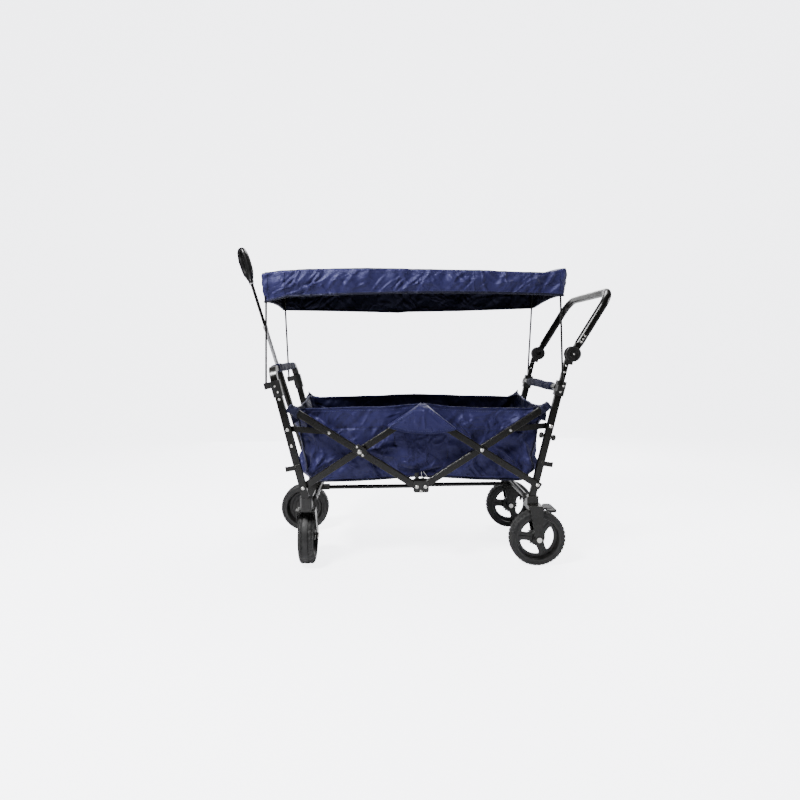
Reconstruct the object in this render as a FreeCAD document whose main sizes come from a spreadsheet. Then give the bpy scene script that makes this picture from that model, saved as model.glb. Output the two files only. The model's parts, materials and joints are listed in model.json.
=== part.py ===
"""Folding camp wagon: scissor-folding steel frame, fabric basket, canopy, pull handle and push bar.

Frame of the model: millimetres, +Z up, ground at z = 0. -X is the front (pull handle), +X the rear
(push bar), -Y the left side. The origin is on the ground midway between the front and rear posts'
lower pivots, in the wagon's middle plane.
"""
import FreeCAD, Part
import math
import os
import re
import Sketcher
from FreeCAD import Placement, Rotation, Vector

doc = FreeCAD.newDocument("FoldingWagon")

DIMENSIONS = {
    # Scissor sides
    "post_pivot_x": 408, "post_pivot_z": 295, "hub_pivot_x": 15, "hub_rise": 252,
    "arm_reach": 280, "arm_overhang": 12, "link_seat": 123,
    "bar_height": 24, "bar_width": 16, "bar_wall": 1.4, "bar_corner": 2.5, "plug_cap": 2.5,
    "outer_bar_y": 232, "inner_bar_y": 212,
    "rivet_radius": 4, "rivet_head": 6.6, "rivet_dome": 2.8, "pivot_gap": 0.08, "washer_radius": 10,
    "hub_length": 54, "hub_height": 40, "hub_plate": 2.5, "hub_inner_y": 199,
    "hub_outer_y": 242, "hub_corner": 8,
    # Posts
    "post_tilt": 13.35, "post_depth": 24, "post_width": 20, "post_wall": 1.5,
    "front_post_y": 232, "rear_post_y": 210, "front_post_top": 434, "rear_post_top": 360,
    "post_foot": 52, "link_pivot": 210, "post_bend": 38, "crossbar_rise": 348, "crossbar_inset": 8,
    "sleeve_radius": 16, "sleeve_half": 165, "sleeve_cover": 1.8,
    "cross_tube_radius": 10, "cross_tube_wall": 1.2, "cross_tube_half": 193.5,
    "cross_tube_x": 376, "cross_tube_z": 246,
    "link_height": 20, "link_thick": 5,
    "front_link_y": 213, "rear_link_y": 194.5,
    # Tubes under the basket
    "floor_tube_radius": 8, "floor_tube_y": 9, "floor_pivot_x": 350, "floor_pivot_z": 240,
    "floor_overlap": 12,
    # Wheels
    "wheel_radius": 100, "rim_radius": 80, "rim_well": 71, "wheel_hub_radius": 17,
    "axle_radius": 5, "axle_nut": 4,
    "front_tyre_width": 52, "rear_tyre_width": 46, "spoke_width": 24, "spoke_thick": 12,
    "rear_axle_x": 415.5, "rear_axle_z": 100, "rear_wheel_y": 212,
    "brake_disc_inner": 39, "brake_disc_outer": 45, "brake_disc_thick": 6, "brake_teeth": 16,
    # Casters
    "caster_x": 405, "caster_y": 215, "caster_trail": 62, "fork_gap": 60, "fork_plate": 4,
    "fork_crown_z": 208, "rear_fork_inner": 30, "rear_crown_low": 207, "fork_crown": 10,
    "socket_low": 213, "socket_high": 262, "stem_radius": 6,
    "hook_rise": 76, "hook_length": 52, "hook_height": 17,
    # Pull handle
    "handle_pivot_x": 401, "handle_pivot_z": 262, "handle_lean": 16, "handle_tube_radius": 12,
    "handle_outer_length": 443, "handle_stage_radius": 7.5, "handle_stage_end": 624,
    "handle_stage_length": 400, "handle_tip_radius": 5.8, "handle_tip_length": 400, "slide_gap": 0.15,
    "handle_grip_start": 788, "handle_grip_length": 138, "handle_grip_width": 48, "handle_grip_turn": 52,
    # Push bar
    "stem_depth": 16.4, "stem_width": 13, "stem_bottom": 250, "stem_top": 446, "stem_wall": 1.5,
    "knuckle_x": 530, "knuckle_z": 751, "knuckle_radius": 27, "knuckle_width": 24,
    "push_lean": 31.3, "push_tube_radius": 14.5, "push_arm": 254, "push_bend": 60,
    "button_radius": 9, "button_proud": 5, "button_gap": 0.3,
    # Basket and canopy
    "basket_top_z": 573, "basket_floor_z": 316, "basket_top_x": 426, "basket_floor_x": 392,
    "basket_top_y": 186, "basket_floor_y": 172, "fabric": 3,
    "canopy_front_x": 541, "canopy_rear_x": 511, "canopy_y": 195, "canopy_low_z": 938,
    "canopy_top_z": 1046, "canopy_thick": 3, "pole_radius": 3.5,
    # Canopy pole brackets
    "front_bracket_rise": 354, "front_bracket_height": 56, "rear_bracket_height": 52,
    # Brake bar
    "brake_x": 455, "brake_z": 150, "brake_rod_radius": 5, "brake_pin_drop": 22,
    "brake_pin_radius": 2.5,
}

sheet = doc.addObject("Spreadsheet::Sheet", "Dimensions")
for row, (alias, number) in enumerate(DIMENSIONS.items(), start=1):
    sheet.set(f"A{row}", alias)
    sheet.set(f"B{row}", str(number))
    sheet.setAlias(f"B{row}", alias)
doc.recompute()
D = DIMENSIONS
PIECES = []
Y_AXIS = Vector(0, 1, 0)


# ------------------------------------------------------------------ helpers
def bind(feature, prop, text):
    """Bind a property to an expression written with the sheet's plain aliases."""
    if isinstance(text, (int, float)):
        setattr(feature, prop, text)
        return
    pattern = r"(?<![\w.])(" + "|".join(sorted(D, key=len, reverse=True)) + r")(?!\w)"
    feature.setExpression(prop, re.sub(pattern, r"Dimensions.\1", text))


def at(x=0, y=0, z=0, rotation=None):
    return Placement(Vector(x, y, z), rotation or Rotation())


def about_y(degrees):
    return Rotation(Y_AXIS, degrees)


def box(name, length, width, height, centre, frame=None):
    """A box centred on a point of the frame."""
    feature = doc.addObject("Part::Box", name)
    bind(feature, "Length", length)
    bind(feature, "Width", width)
    bind(feature, "Height", height)
    feature.recompute()
    half = Vector(feature.Length.Value, feature.Width.Value, feature.Height.Value) * 0.5
    feature.Placement = (frame or Placement()).multiply(Placement(Vector(*centre) - half, Rotation()))
    return feature


def cylinder(name, radius, height, start, direction, frame=None):
    feature = doc.addObject("Part::Cylinder", name)
    bind(feature, "Radius", radius)
    bind(feature, "Height", height)
    turn = Rotation(Vector(0, 0, 1), Vector(*direction))
    feature.Placement = (frame or Placement()).multiply(Placement(Vector(*start), turn))
    return feature


def cone(name, wide, narrow, height, start, direction, frame=None):
    feature = doc.addObject("Part::Cone", name)
    bind(feature, "Radius1", wide)
    bind(feature, "Radius2", narrow)
    bind(feature, "Height", height)
    turn = Rotation(Vector(0, 0, 1), Vector(*direction))
    feature.Placement = (frame or Placement()).multiply(Placement(Vector(*start), turn))
    return feature


def fuse(name, shapes):
    feature = doc.addObject("Part::MultiFuse", name)
    feature.Shapes = shapes
    feature.Refine = True
    return feature


def cut(name, base, tools):
    tool = tools[0] if len(tools) == 1 else fuse(name + "_tools", tools)
    feature = doc.addObject("Part::Cut", name)
    feature.Base = base
    feature.Tool = tool
    return feature


def mirrored(source, normal=(0, 1, 0)):
    feature = doc.addObject("Part::Mirroring", source.Name + "_mirror")
    feature.Source = source
    feature.Normal = Vector(*normal)
    feature.Base = Vector(0, 0, 0)
    return feature


def group(name, shapes):
    feature = doc.addObject("Part::Compound", name)
    feature.Links = shapes
    return feature


def rounded(name, base, radius, direction):
    """Fillet the edges of a feature that run along a direction."""
    doc.recompute()
    unit = Vector(*direction).normalize()
    chosen = []
    for index, edge in enumerate(base.Shape.Edges, start=1):
        if len(edge.Vertexes) == 2 and edge.Curve.TypeId == "Part::GeomLine":
            run = (edge.Vertexes[1].Point - edge.Vertexes[0].Point).normalize()
            if abs(run.dot(unit)) > 0.999:
                chosen.append((index, radius, radius))
    feature = doc.addObject("Part::Fillet", name)
    feature.Base = base
    feature.Edges = chosen
    return feature


def piece(feature, label):
    feature.Label = label
    if feature.Label != label:
        raise RuntimeError(f"two objects are called {label}")
    PIECES.append(feature)
    return feature


def both_sides(label, left):
    """One node holding a left piece and its mirror image on the right."""
    return piece(group(label + "_pair", [left, mirrored(left)]), label)


def box_tube(name, length, start, frame, height, width, wall, corner):
    """Rectangular tube along the frame's X, centred on its axis, from start on."""
    probe = doc.addObject("Part::Box", name + "_outer")
    bind(probe, "Length", length)
    bind(probe, "Width", width)
    bind(probe, "Height", height)
    probe.recompute()
    y0 = -probe.Width.Value / 2
    z0 = -probe.Height.Value / 2
    probe.Placement = frame.multiply(at(start, y0, z0))
    along = frame.Rotation.multVec(Vector(1, 0, 0))
    skin = rounded(name + "_skin", probe, D[corner], tuple(along))
    bore = doc.addObject("Part::Box", name + "_bore")
    bind(bore, "Length", f"({length}) + 4")
    bind(bore, "Width", f"{width} - 2 * {wall}")
    bind(bore, "Height", f"{height} - 2 * {wall}")
    bore.Placement = frame.multiply(at(start - 2, y0 + D[wall], z0 + D[wall]))
    return skin, bore


def rivet(name, x, z, inner, outer, side):
    """Headed pin along Y between two distances from the middle plane; heads sit outside both."""
    y0 = side * inner
    y1 = side * outer
    shank = cylinder(name + "_shank", "rivet_radius", abs(outer - inner), (x, y0, z), (0, side, 0))
    heads = []
    for tag, y, way in (("in", y0, -side), ("out", y1, side)):
        heads.append(cone(f"{name}_{tag}", "rivet_head", "rivet_head * 0.55", "rivet_dome",
                          (x, y, z), (0, way, 0)))
    return fuse(name, [shank] + heads)


def pivot_hole(name, x, z, inner, outer, side):
    return cylinder(name, "rivet_radius + pivot_gap", abs(outer - inner) + 4,
                    (x, side * (inner - 2), z), (0, side, 0))


def make_body(label):
    body = doc.addObject("PartDesign::Body", label + "_body")
    piece(body, label)
    return body


def origin_plane(body, role):
    for feature in body.Origin.OriginFeatures:
        if feature.Role == role:
            return feature
    raise ValueError(role)


def new_sketch(body, name, role):
    sketch = body.newObject("Sketcher::SketchObject", name)
    sketch.AttachmentSupport = [(origin_plane(body, role), "")]
    sketch.MapMode = "FlatFace"
    return sketch


def outline(sketch, points):
    """Closed polygon; a point is (x, y)."""
    flat = [Vector(x, y, 0) for x, y in points]
    for first, second in zip(flat, flat[1:] + flat[:1]):
        sketch.addGeometry(Part.LineSegment(first, second), False)


def bound_circle(sketch, centre, radius):
    """Circle whose radius follows an expression."""
    index = sketch.addGeometry(Part.Circle(Vector(*centre, 0), Vector(0, 0, 1), 10), False)
    slot = sketch.addConstraint(Sketcher.Constraint("Radius", index, 10))
    bind(sketch, f"Constraints[{slot}]", radius)
    return index


def bent_path(sketch, points, radius):
    """Open polyline with every corner rounded."""
    flat = [Vector(x, y, 0) for x, y in points]
    start = flat[0]
    for before, corner, after in zip(flat, flat[1:], flat[2:]):
        back = (before - corner).normalize()
        ahead = (after - corner).normalize()
        half = math.acos(max(-1, min(1, back.dot(ahead)))) / 2
        reach = radius / math.tan(half)
        first = corner + back * reach
        last = corner + ahead * reach
        bisector = (back + ahead).normalize()
        middle = corner + bisector * (radius / math.sin(half) - radius)
        sketch.addGeometry(Part.LineSegment(start, first), False)
        sketch.addGeometry(Part.Arc(first, middle, last), False)
        start = last
    sketch.addGeometry(Part.LineSegment(start, flat[-1]), False)


# ------------------------------------------------------------------ shared geometry
pivot_x = D["post_pivot_x"]
pivot_z = D["post_pivot_z"]
hub_x = D["hub_pivot_x"]
hub_z = pivot_z
top_hub_z = pivot_z + D["hub_rise"]
half_run = (pivot_x - hub_x) / 2
half_rise = D["hub_rise"] / 2
arm_angle = math.degrees(math.atan2(half_rise, half_run))
arm_half = math.hypot(half_run, half_rise)
crossing_x = pivot_x - half_run
crossing_z = pivot_z + half_rise
SIDES = (("left", -1), ("right", 1))


def post_frame(end):
    """Frame at a post's lower pivot, Z up along the post; end is -1 at the front, +1 at the rear."""
    return at(end * pivot_x, 0, pivot_z, about_y(end * D["post_tilt"]))


def on_post(end, along, offset=0):
    point = post_frame(end).multVec(Vector(offset, 0, along))
    return point.x, point.z


def scissor_bar(label, end, rising_out, y, hole_stations, reach):
    """A bar through the crossing; +s runs away from the bottom hub or from the post pivot."""
    side = -1 if y < 0 else 1
    way = end if rising_out else -end
    turn = -arm_angle if way > 0 else arm_angle - 180
    frame = at(end * crossing_x, y, crossing_z, about_y(turn))
    start = -(arm_half + D["arm_overhang"])
    length = f"{arm_half:.6f} + arm_overhang + {reach:.6f}"
    skin, bore = box_tube(label, length, start, frame, "bar_height", "bar_width", "bar_wall",
                          "bar_corner")
    holes = []
    for index, station in enumerate(hole_stations):
        point = frame.multVec(Vector(station, 0, 0))
        half = D["bar_width"] / 2
        holes.append(pivot_hole(f"{label}_hole{index}", point.x, point.z,
                                abs(y) - half, abs(y) + half, side))
    return piece(cut(label + "_bar", skin, [bore] + holes), label)


# ------------------------------------------------------------------ scissor sides
def scissor_sides():
    full = arm_half + D["arm_overhang"]
    ends = ((-1, "front"), (1, "rear"))
    for end, tag in ends:
        for side_name, side in SIDES:
            # The outer layer holds the front's rising bar and the rear's falling bar.
            rising_y = side * (D["outer_bar_y"] if end < 0 else D["inner_bar_y"])
            falling_y = side * (D["inner_bar_y"] if end < 0 else D["outer_bar_y"])
            rising_layer = "outer" if end < 0 else "inner"
            falling_layer = "inner" if end < 0 else "outer"
            scissor_bar(f"{side_name}_{tag}_{rising_layer}_bar", end, True, rising_y,
                        (-arm_half, 0), D["arm_reach"] - D["plug_cap"])
            scissor_bar(f"{side_name}_{tag}_{falling_layer}_bar", end, False, falling_y,
                        (-arm_half, 0, arm_half), full)


def crossing_rivets(end, label):
    low = D["inner_bar_y"] - D["bar_width"] / 2 - 0.4
    high = D["outer_bar_y"] + D["bar_width"] / 2
    pin = rivet(label + "_pin", end * crossing_x, crossing_z, low, high, -1)
    gap = D["outer_bar_y"] - D["inner_bar_y"] - D["bar_width"]
    washer = cylinder(label + "_washer", "washer_radius", gap - 0.4,
                      (end * crossing_x, -(D["inner_bar_y"] + D["bar_width"] / 2 + 0.2), crossing_z),
                      (0, -1, 0))
    both_sides(label, fuse(label + "_left", [pin, washer]))


def bar_plugs(end, label):
    """Moulded plugs that close the upper ends of the rising bars."""
    y = D["outer_bar_y"] if end < 0 else D["inner_bar_y"]
    frame = at(end * crossing_x, -y, crossing_z, about_y(arm_angle - 180 if end < 0 else -arm_angle))
    stop = D["arm_reach"] - D["plug_cap"]
    cap = box(label + "_cap", "plug_cap", "bar_width", "bar_height",
              (stop + D["plug_cap"] / 2, 0, 0), frame)
    along = frame.Rotation.multVec(Vector(1, 0, 0))
    cap_skin = rounded(label + "_cap_skin", cap, D["bar_corner"], tuple(along))
    core = box(label + "_core", 18, "bar_width - 2 * bar_wall - 0.1", "bar_height - 2 * bar_wall - 0.1",
               (stop - 9, 0, 0), frame)
    both_sides(label, fuse(label + "_left", [cap_skin, core]))


def hub(label, z, up):
    """Folded plate bracket: two cheeks joined by a web on the side away from the bars."""
    inner = D["hub_inner_y"]
    outer = D["hub_outer_y"]
    middle = z + up * 0.5
    cheeks = []
    for tag, y in (("in", inner), ("out", outer)):
        cheek = box(f"{label}_{tag}", "hub_length", "hub_plate", "hub_height", (0, -y, middle))
        cheeks.append(rounded(f"{label}_{tag}_skin", cheek, D["hub_corner"], (0, 1, 0)))
    web_z = middle - up * (D["hub_height"] / 2 - D["hub_plate"] / 2)
    cheeks.append(box(f"{label}_web", "hub_length - 2 * hub_corner", outer - inner, "hub_plate",
                      (0, -(inner + outer) / 2, web_z)))
    skin = fuse(label + "_plates", cheeks)
    holes = []
    for way in (-1, 1):
        holes.append(cylinder(f"{label}_hole{way + 1}", "rivet_radius", 60,
                              (way * hub_x, -inner + 5, z), (0, -1, 0)))
    both_sides(label, cut(label + "_left", skin, holes))


def hub_rivets(label, z):
    pins = []
    for way in (-1, 1):
        low = D["hub_inner_y"] - D["hub_plate"] / 2
        high = D["hub_outer_y"] + D["hub_plate"] / 2
        pins.append(rivet(f"{label}_pin{way + 1}", way * hub_x, z, low, high, -1))
    both = pins + [mirrored(pin) for pin in pins]
    piece(group(label + "_set", both), label)


# ------------------------------------------------------------------ posts
def post_hole(name, end, along, y, side):
    x, z = on_post(end, along)
    half = D["post_width"] / 2
    return pivot_hole(name, x, z, y - half, y + half, side)


def front_frame():
    """Bent rectangular tube: two posts and the crossbar over them, in one piece."""
    label = "front_frame_tube"
    body = make_body(label)
    body.Placement = post_frame(-1)
    y = D["front_post_y"]
    path = new_sketch(body, "front_path", "YZ_Plane")
    top = D["front_post_top"] - D["post_depth"] / 2
    bent_path(path, [(-y, -D["post_foot"]), (-y, top), (y, top), (y, -D["post_foot"])], D["post_bend"])
    profile = new_sketch(body, "front_profile", "XY_Plane")
    profile.AttachmentOffset = at(0, 0, -D["post_foot"])
    for shrink in (0, D["post_wall"]):
        dx = D["post_depth"] / 2 - shrink
        dy = D["post_width"] / 2 - shrink
        outline(profile, [(-dx, -y - dy), (dx, -y - dy), (dx, -y + dy), (-dx, -y + dy)])
    pipe = body.newObject("PartDesign::AdditivePipe", "front_pipe")
    pipe.Profile = profile
    pipe.Spine = path
    doc.recompute()
    holes = new_sketch(body, "front_holes", "XZ_Plane")
    for along in (0, D["link_pivot"]):
        bound_circle(holes, (0, along), "rivet_radius + pivot_gap")
    drill = body.newObject("PartDesign::Pocket", "front_drill")
    drill.Profile = holes
    drill.Type = 1
    drill.SideType = "Symmetric"
    doc.recompute()
    body.Tip = drill


def rear_frame():
    """Two rectangular posts with a round crossbar welded between them."""
    pieces = []
    bores = []
    height = "rear_post_top + post_foot"
    for side_name, side in SIDES:
        y = side * D["rear_post_y"]
        middle = (D["rear_post_top"] - D["post_foot"]) / 2
        frame = post_frame(1)
        outer = box(f"rear_post_{side_name}", "post_depth", "post_width", height, (0, y, middle), frame)
        along = frame.Rotation.multVec(Vector(0, 0, 1))
        pieces.append(rounded(f"rear_post_{side_name}_skin", outer, 3, tuple(along)))
        bores.append(box(f"rear_post_{side_name}_bore", "post_depth - 2 * post_wall",
                         "post_width - 2 * post_wall", f"({height}) + 4", (0, y, middle), frame))
        for index, along_post in enumerate((0, D["link_pivot"])):
            bores.append(post_hole(f"rear_post_{side_name}_hole{index}", 1, along_post,
                                   D["rear_post_y"], side))
    inner_face = D["rear_post_y"] - D["post_width"] / 2
    x, z = on_post(1, D["crossbar_rise"], -D["crossbar_inset"])
    bar = cylinder("rear_crossbar", "cross_tube_radius", 2 * inner_face, (x, -inner_face, z), (0, 1, 0))
    piece(fuse("rear_frame_weld", [cut("rear_posts_bored", fuse("rear_posts_solid", pieces), bores), bar]),
          "rear_frame_tube")


def sleeves():
    """Fabric covers of the two crossbars: a close wrap at the front, a padded roll at the rear."""
    half = D["sleeve_half"]
    frame = post_frame(-1)
    rise = D["front_post_top"] - D["post_depth"] / 2
    wrap = box("front_sleeve_wrap", "post_depth + 2 * sleeve_cover", 2 * half,
               "post_width + 2 * sleeve_cover",
               (0, 0, rise), frame)
    skin = rounded("front_sleeve_skin", wrap, 4, (0, 1, 0))
    core = box("front_sleeve_core", "post_depth + 0.1", 2 * half + 4, "post_width + 0.1",
               (0, 0, rise), frame)
    piece(cut("front_sleeve_cut", skin, [core]), "front_crossbar_sleeve")
    x, z = on_post(1, D["crossbar_rise"], -D["crossbar_inset"])
    roll = cylinder("rear_sleeve_roll", "sleeve_radius", 2 * half, (x, -half, z), (0, 1, 0))
    bore = cylinder("rear_sleeve_bore", "cross_tube_radius + 0.05", 2 * half + 2, (x, -half - 1, z),
                    (0, 1, 0))
    piece(cut("rear_sleeve_cut", roll, [bore]), "rear_crossbar_sleeve")


def post_rivets(end, label, post_y, bar_y):
    """Lower pin through post and scissor bar, and the link pin above it, on both sides."""
    pins = []
    near = min(post_y, bar_y)
    far = max(post_y, bar_y)
    half_near = (D["post_width"] if near == post_y else D["bar_width"]) / 2
    half_far = (D["post_width"] if far == post_y else D["bar_width"]) / 2
    low = near - half_near - (0 if near == post_y else 0.4)
    high = far + half_far + (0 if far == post_y else 0.4)
    x, z = on_post(end, 0)
    pins.append(rivet(label + "_lower", x, z, low, high, -1))
    link_y = D["front_link_y"] if end < 0 else D["rear_link_y"]
    x, z = on_post(end, D["link_pivot"])
    pins.append(rivet(label + "_upper", x, z, link_y - D["link_thick"] / 2 - 0.4,
                      post_y + D["post_width"] / 2, -1))
    piece(group(label + "_set", pins + [mirrored(pin) for pin in pins]), label)


def links(end, label):
    """Flat steel links from the posts to the rising bars; the inner end's eye is plain."""
    y = D["front_link_y"] if end < 0 else D["rear_link_y"]
    x1, z1 = on_post(end, D["link_pivot"])
    angle = math.radians(arm_angle)
    x2 = end * (crossing_x + D["link_seat"] * math.cos(angle))
    z2 = crossing_z + D["link_seat"] * math.sin(angle)
    run = math.hypot(x2 - x1, z2 - z1)
    turn = -math.degrees(math.atan2(z2 - z1, x2 - x1))
    frame = at(x1, -y, z1, about_y(turn))
    bar = box(label + "_bar", run, "link_thick", "link_height", (run / 2, 0, 0), frame)
    eyes = []
    for tag, station in (("a", 0), ("b", run)):
        eyes.append(cylinder(f"{label}_eye_{tag}", "link_height / 2", "link_thick",
                             (station, -D["link_thick"] / 2, 0), (0, 1, 0), frame))
    hole = cylinder(label + "_hole", "rivet_radius + pivot_gap", 12, (0, -6, 0), (0, 1, 0), frame)
    body = cut(label + "_cut", fuse(label + "_flat", [bar] + eyes), [hole])
    stud = cone(label + "_stud", "rivet_head", "rivet_head * 0.55", "rivet_dome",
                (run, D["link_thick"] / 2, 0), (0, 1, 0), frame)
    both_sides(label, fuse(label + "_left", [body, stud]))


def cross_tube(end, label, with_handle_lugs):
    """Lower cross tube with the floor tube's lugs and, at the front, the pull handle's lugs."""
    x = end * D["cross_tube_x"]
    z = D["cross_tube_z"]
    half = D["cross_tube_half"]
    tube = cylinder(label + "_skin", "cross_tube_radius", 2 * half, (x, -half, z), (0, 1, 0))
    bore = cylinder(label + "_bore", "cross_tube_radius - cross_tube_wall", 2 * half + 4,
                    (x, -half - 2, z), (0, 1, 0))
    hollow = cut(label + "_pipe", tube, [bore])
    lugs = []
    holes = []
    y_mid = end * D["floor_tube_y"]
    gap = D["floor_tube_radius"] + 1
    for way in (-1, 1):
        lug_x = end * (D["cross_tube_x"] + D["floor_pivot_x"]) / 2
        lugs.append(box(f"{label}_lug{way + 1}", "cross_tube_x - floor_pivot_x + 12", 3, 18,
                        (lug_x - end * 4.5, y_mid + way * (gap + 1.5), z - 4.5)))
    holes.append(cylinder(label + "_hole", "rivet_radius + pivot_gap", 44,
                          (end * D["floor_pivot_x"], y_mid - 22, D["floor_pivot_z"]), (0, 1, 0)))
    if with_handle_lugs:
        reach = D["handle_tube_radius"] + 1
        for way in (-1, 1):
            lugs.append(box(f"{label}_ear{way + 1}", 40, 3, 34, (x - 14, way * (reach + 1.5), z + 8)))
        holes.append(cylinder(label + "_pin_hole", "rivet_radius + pivot_gap", 44,
                              (-D["handle_pivot_x"], -22, D["handle_pivot_z"]), (0, 1, 0)))
    body = fuse(label + "_weld", [hollow] + lugs)
    cleared = cylinder(label + "_clear", "cross_tube_radius - cross_tube_wall", 2 * half + 4,
                       (x, -half - 2, z), (0, 1, 0))
    return cut(label + "_cut", body, [cleared] + holes)


def floor_tube(end, label):
    """Half of the tube under the basket, pinned to its frame; the two halves pass side by side."""
    y = end * D["floor_tube_y"]
    z = D["floor_pivot_z"]
    x = end * D["floor_pivot_x"]
    length = D["floor_pivot_x"] + D["floor_overlap"]
    tube = cylinder(label + "_skin", "floor_tube_radius", length + 8, (x + end * 8, y, z), (-end, 0, 0))
    bore = cylinder(label + "_bore", "floor_tube_radius - cross_tube_wall", length - 24,
                    (x - end * 12, y, z), (-end, 0, 0))
    pin = cylinder(label + "_pin", "rivet_radius", 2 * D["floor_tube_radius"] + 12,
                   (x, y - D["floor_tube_radius"] - 6, z), (0, 1, 0))
    piece(fuse(label + "_pinned", [cut(label + "_tube", tube, [bore]), pin]), label)


# ------------------------------------------------------------------ wheels
def tyre(label, x, y, z, axis, width):
    half = D[width] / 2
    start = Vector(x, y, z) - Vector(*axis) * half
    solid = cylinder(label + "_skin", "wheel_radius", width, tuple(start), axis)
    doc.recompute()
    edges = []
    for index, edge in enumerate(solid.Shape.Edges, start=1):
        if edge.Curve.TypeId == "Part::GeomCircle":
            edges.append((index, 12, 12))
    crown = doc.addObject("Part::Fillet", label + "_crown")
    crown.Base = solid
    crown.Edges = edges
    bore_start = Vector(x, y, z) - Vector(*axis) * (half + 2)
    bore = cylinder(label + "_bore", "rim_radius", f"{width} + 4", tuple(bore_start), axis)
    piece(cut(label + "_ring", crown, [bore]), label)


def rim(label, x, y, z, axis, width, braked):
    """Three-spoke moulded rim; a braked rim carries a ring of teeth on its inner face."""
    unit = Vector(*axis)
    centre = Vector(x, y, z)
    half = D[width] / 2 - 3
    hub_half = D[width] / 2 + 1

    def disc(name, radius, low, high):
        return cylinder(name, radius, high - low, tuple(centre + unit * low), axis)

    ring = cut(label + "_ring", disc(label + "_bead", "rim_radius - 0.05", -half, half),
               [disc(label + "_well", "rim_well", -half - 1, half + 1)])
    solids = [ring, disc(label + "_boss", "wheel_hub_radius", -hub_half, hub_half)]
    wheel_frame = Placement(centre, Rotation(Vector(0, 1, 0), unit))
    reach = (D["rim_well"] + D["wheel_hub_radius"]) / 2 - 2
    for index in range(3):
        turn = Placement(Vector(), Rotation(Vector(0, 1, 0), 90 + index * 120))
        frame = wheel_frame.multiply(turn)
        solids.append(box(f"{label}_spoke{index}", "rim_well - wheel_hub_radius + 9", "spoke_thick",
                          "spoke_width", (reach + 2, 0, 0), frame))
    if braked:
        inward = -1 if y > 0 else 1
        low = inward * (D["brake_disc_thick"] + hub_half - 1)
        face = inward * (D["spoke_thick"] / 2 - 1)
        first, last = min(low, face), max(low, face)
        flange = disc(label + "_flange", "brake_disc_outer", first, last)
        hole = disc(label + "_flange_hole", "brake_disc_inner - 6", first - 1, last + 1)
        notches = []
        count = int(D["brake_teeth"])
        for index in range(count):
            angle = 40.6 + index * 360 / count
            spot = at(x, y, z, about_y(-angle))
            notches.append(box(f"{label}_notch{index}", 8, 60, 10.4,
                               ((D["brake_disc_outer"] + D["brake_disc_inner"]) / 2 + 1.5, 0, 0), spot))
        solids.append(cut(label + "_teeth", flange, [hole] + notches))
    whole = fuse(label + "_solid", solids)
    bore = disc(label + "_bore", "axle_radius + pivot_gap", -hub_half - 20, hub_half + 20)
    piece(cut(label + "_rim", whole, [bore]), label)


def caster(side_name, side, heading):
    """Swivel fork and its wheel; heading is the trail's direction in the ground plane, in degrees."""
    x = -D["caster_x"]
    y = side * D["caster_y"]
    swing = at(x, y, 0, Rotation(Vector(0, 0, 1), heading))
    trail = D["caster_trail"]
    low = D["wheel_radius"]
    crown_z = D["fork_crown_z"] + D["fork_crown"] / 2 - 4
    gap = D["fork_gap"]
    label = f"{side_name}_caster_fork"
    crown = box(label + "_crown", 46, "fork_gap + 2 * fork_plate", "fork_crown - 4",
                (trail * 0.2, 0, crown_z), swing)
    stem = cylinder(label + "_stem", "stem_radius", D["socket_high"] - D["fork_crown_z"] - 8,
                    (0, 0, D["fork_crown_z"]), (0, 0, 1), swing)
    legs = []
    lean = math.degrees(math.atan2(trail * 0.8, crown_z - low))
    length = math.hypot(trail * 0.8, crown_z - low)
    for way in (-1, 1):
        frame = swing.multiply(at(trail * 0.2, way * (gap + D["fork_plate"]) / 2, crown_z,
                                  about_y(180 - lean)))
        legs.append(box(f"{label}_leg{way + 1}", 30, "fork_plate", length, (0, 0, length / 2), frame))
        legs.append(cylinder(f"{label}_eye{way + 1}", 15, "fork_plate",
                             (trail, way * (gap / 2) + (0 if way > 0 else -D["fork_plate"]), low),
                             (0, 1, 0), swing))
    whole = fuse(label + "_solid", [crown, stem] + legs)
    hole = cylinder(label + "_hole", "axle_radius + 0.02", gap + 20, (trail, -gap / 2 - 10, low),
                    (0, 1, 0), swing)
    piece(cut(label + "_cut", whole, [hole]), label)
    label = f"{side_name}_caster_axle"
    reach = gap / 2 + D["fork_plate"]
    parts = [cylinder(label + "_rod", "axle_radius", 2 * reach, (trail, -reach, low), (0, 1, 0), swing)]
    for way in (-1, 1):
        parts.append(cylinder(f"{label}_nut{way + 1}", "axle_radius + 4", "axle_nut",
                              (trail, way * reach, low), (0, way, 0), swing))
        parts.append(cylinder(f"{label}_spacer{way + 1}", "axle_radius + 3",
                              gap / 2 - D["front_tyre_width"] / 2 - 1.4,
                              (trail, way * gap / 2, low), (0, -way, 0), swing))
    piece(fuse(label + "_bolt", parts), label)
    hub_point = swing.multVec(Vector(trail, 0, low))
    axis = swing.Rotation.multVec(Vector(0, 1, 0))
    axis = (round(axis.x, 6), round(axis.y, 6), round(axis.z, 6))
    rim(f"{side_name}_front_rim", hub_point.x, hub_point.y, hub_point.z, axis, "front_tyre_width", False)
    tyre(f"{side_name}_front_tyre", hub_point.x, hub_point.y, hub_point.z, axis, "front_tyre_width")


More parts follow.
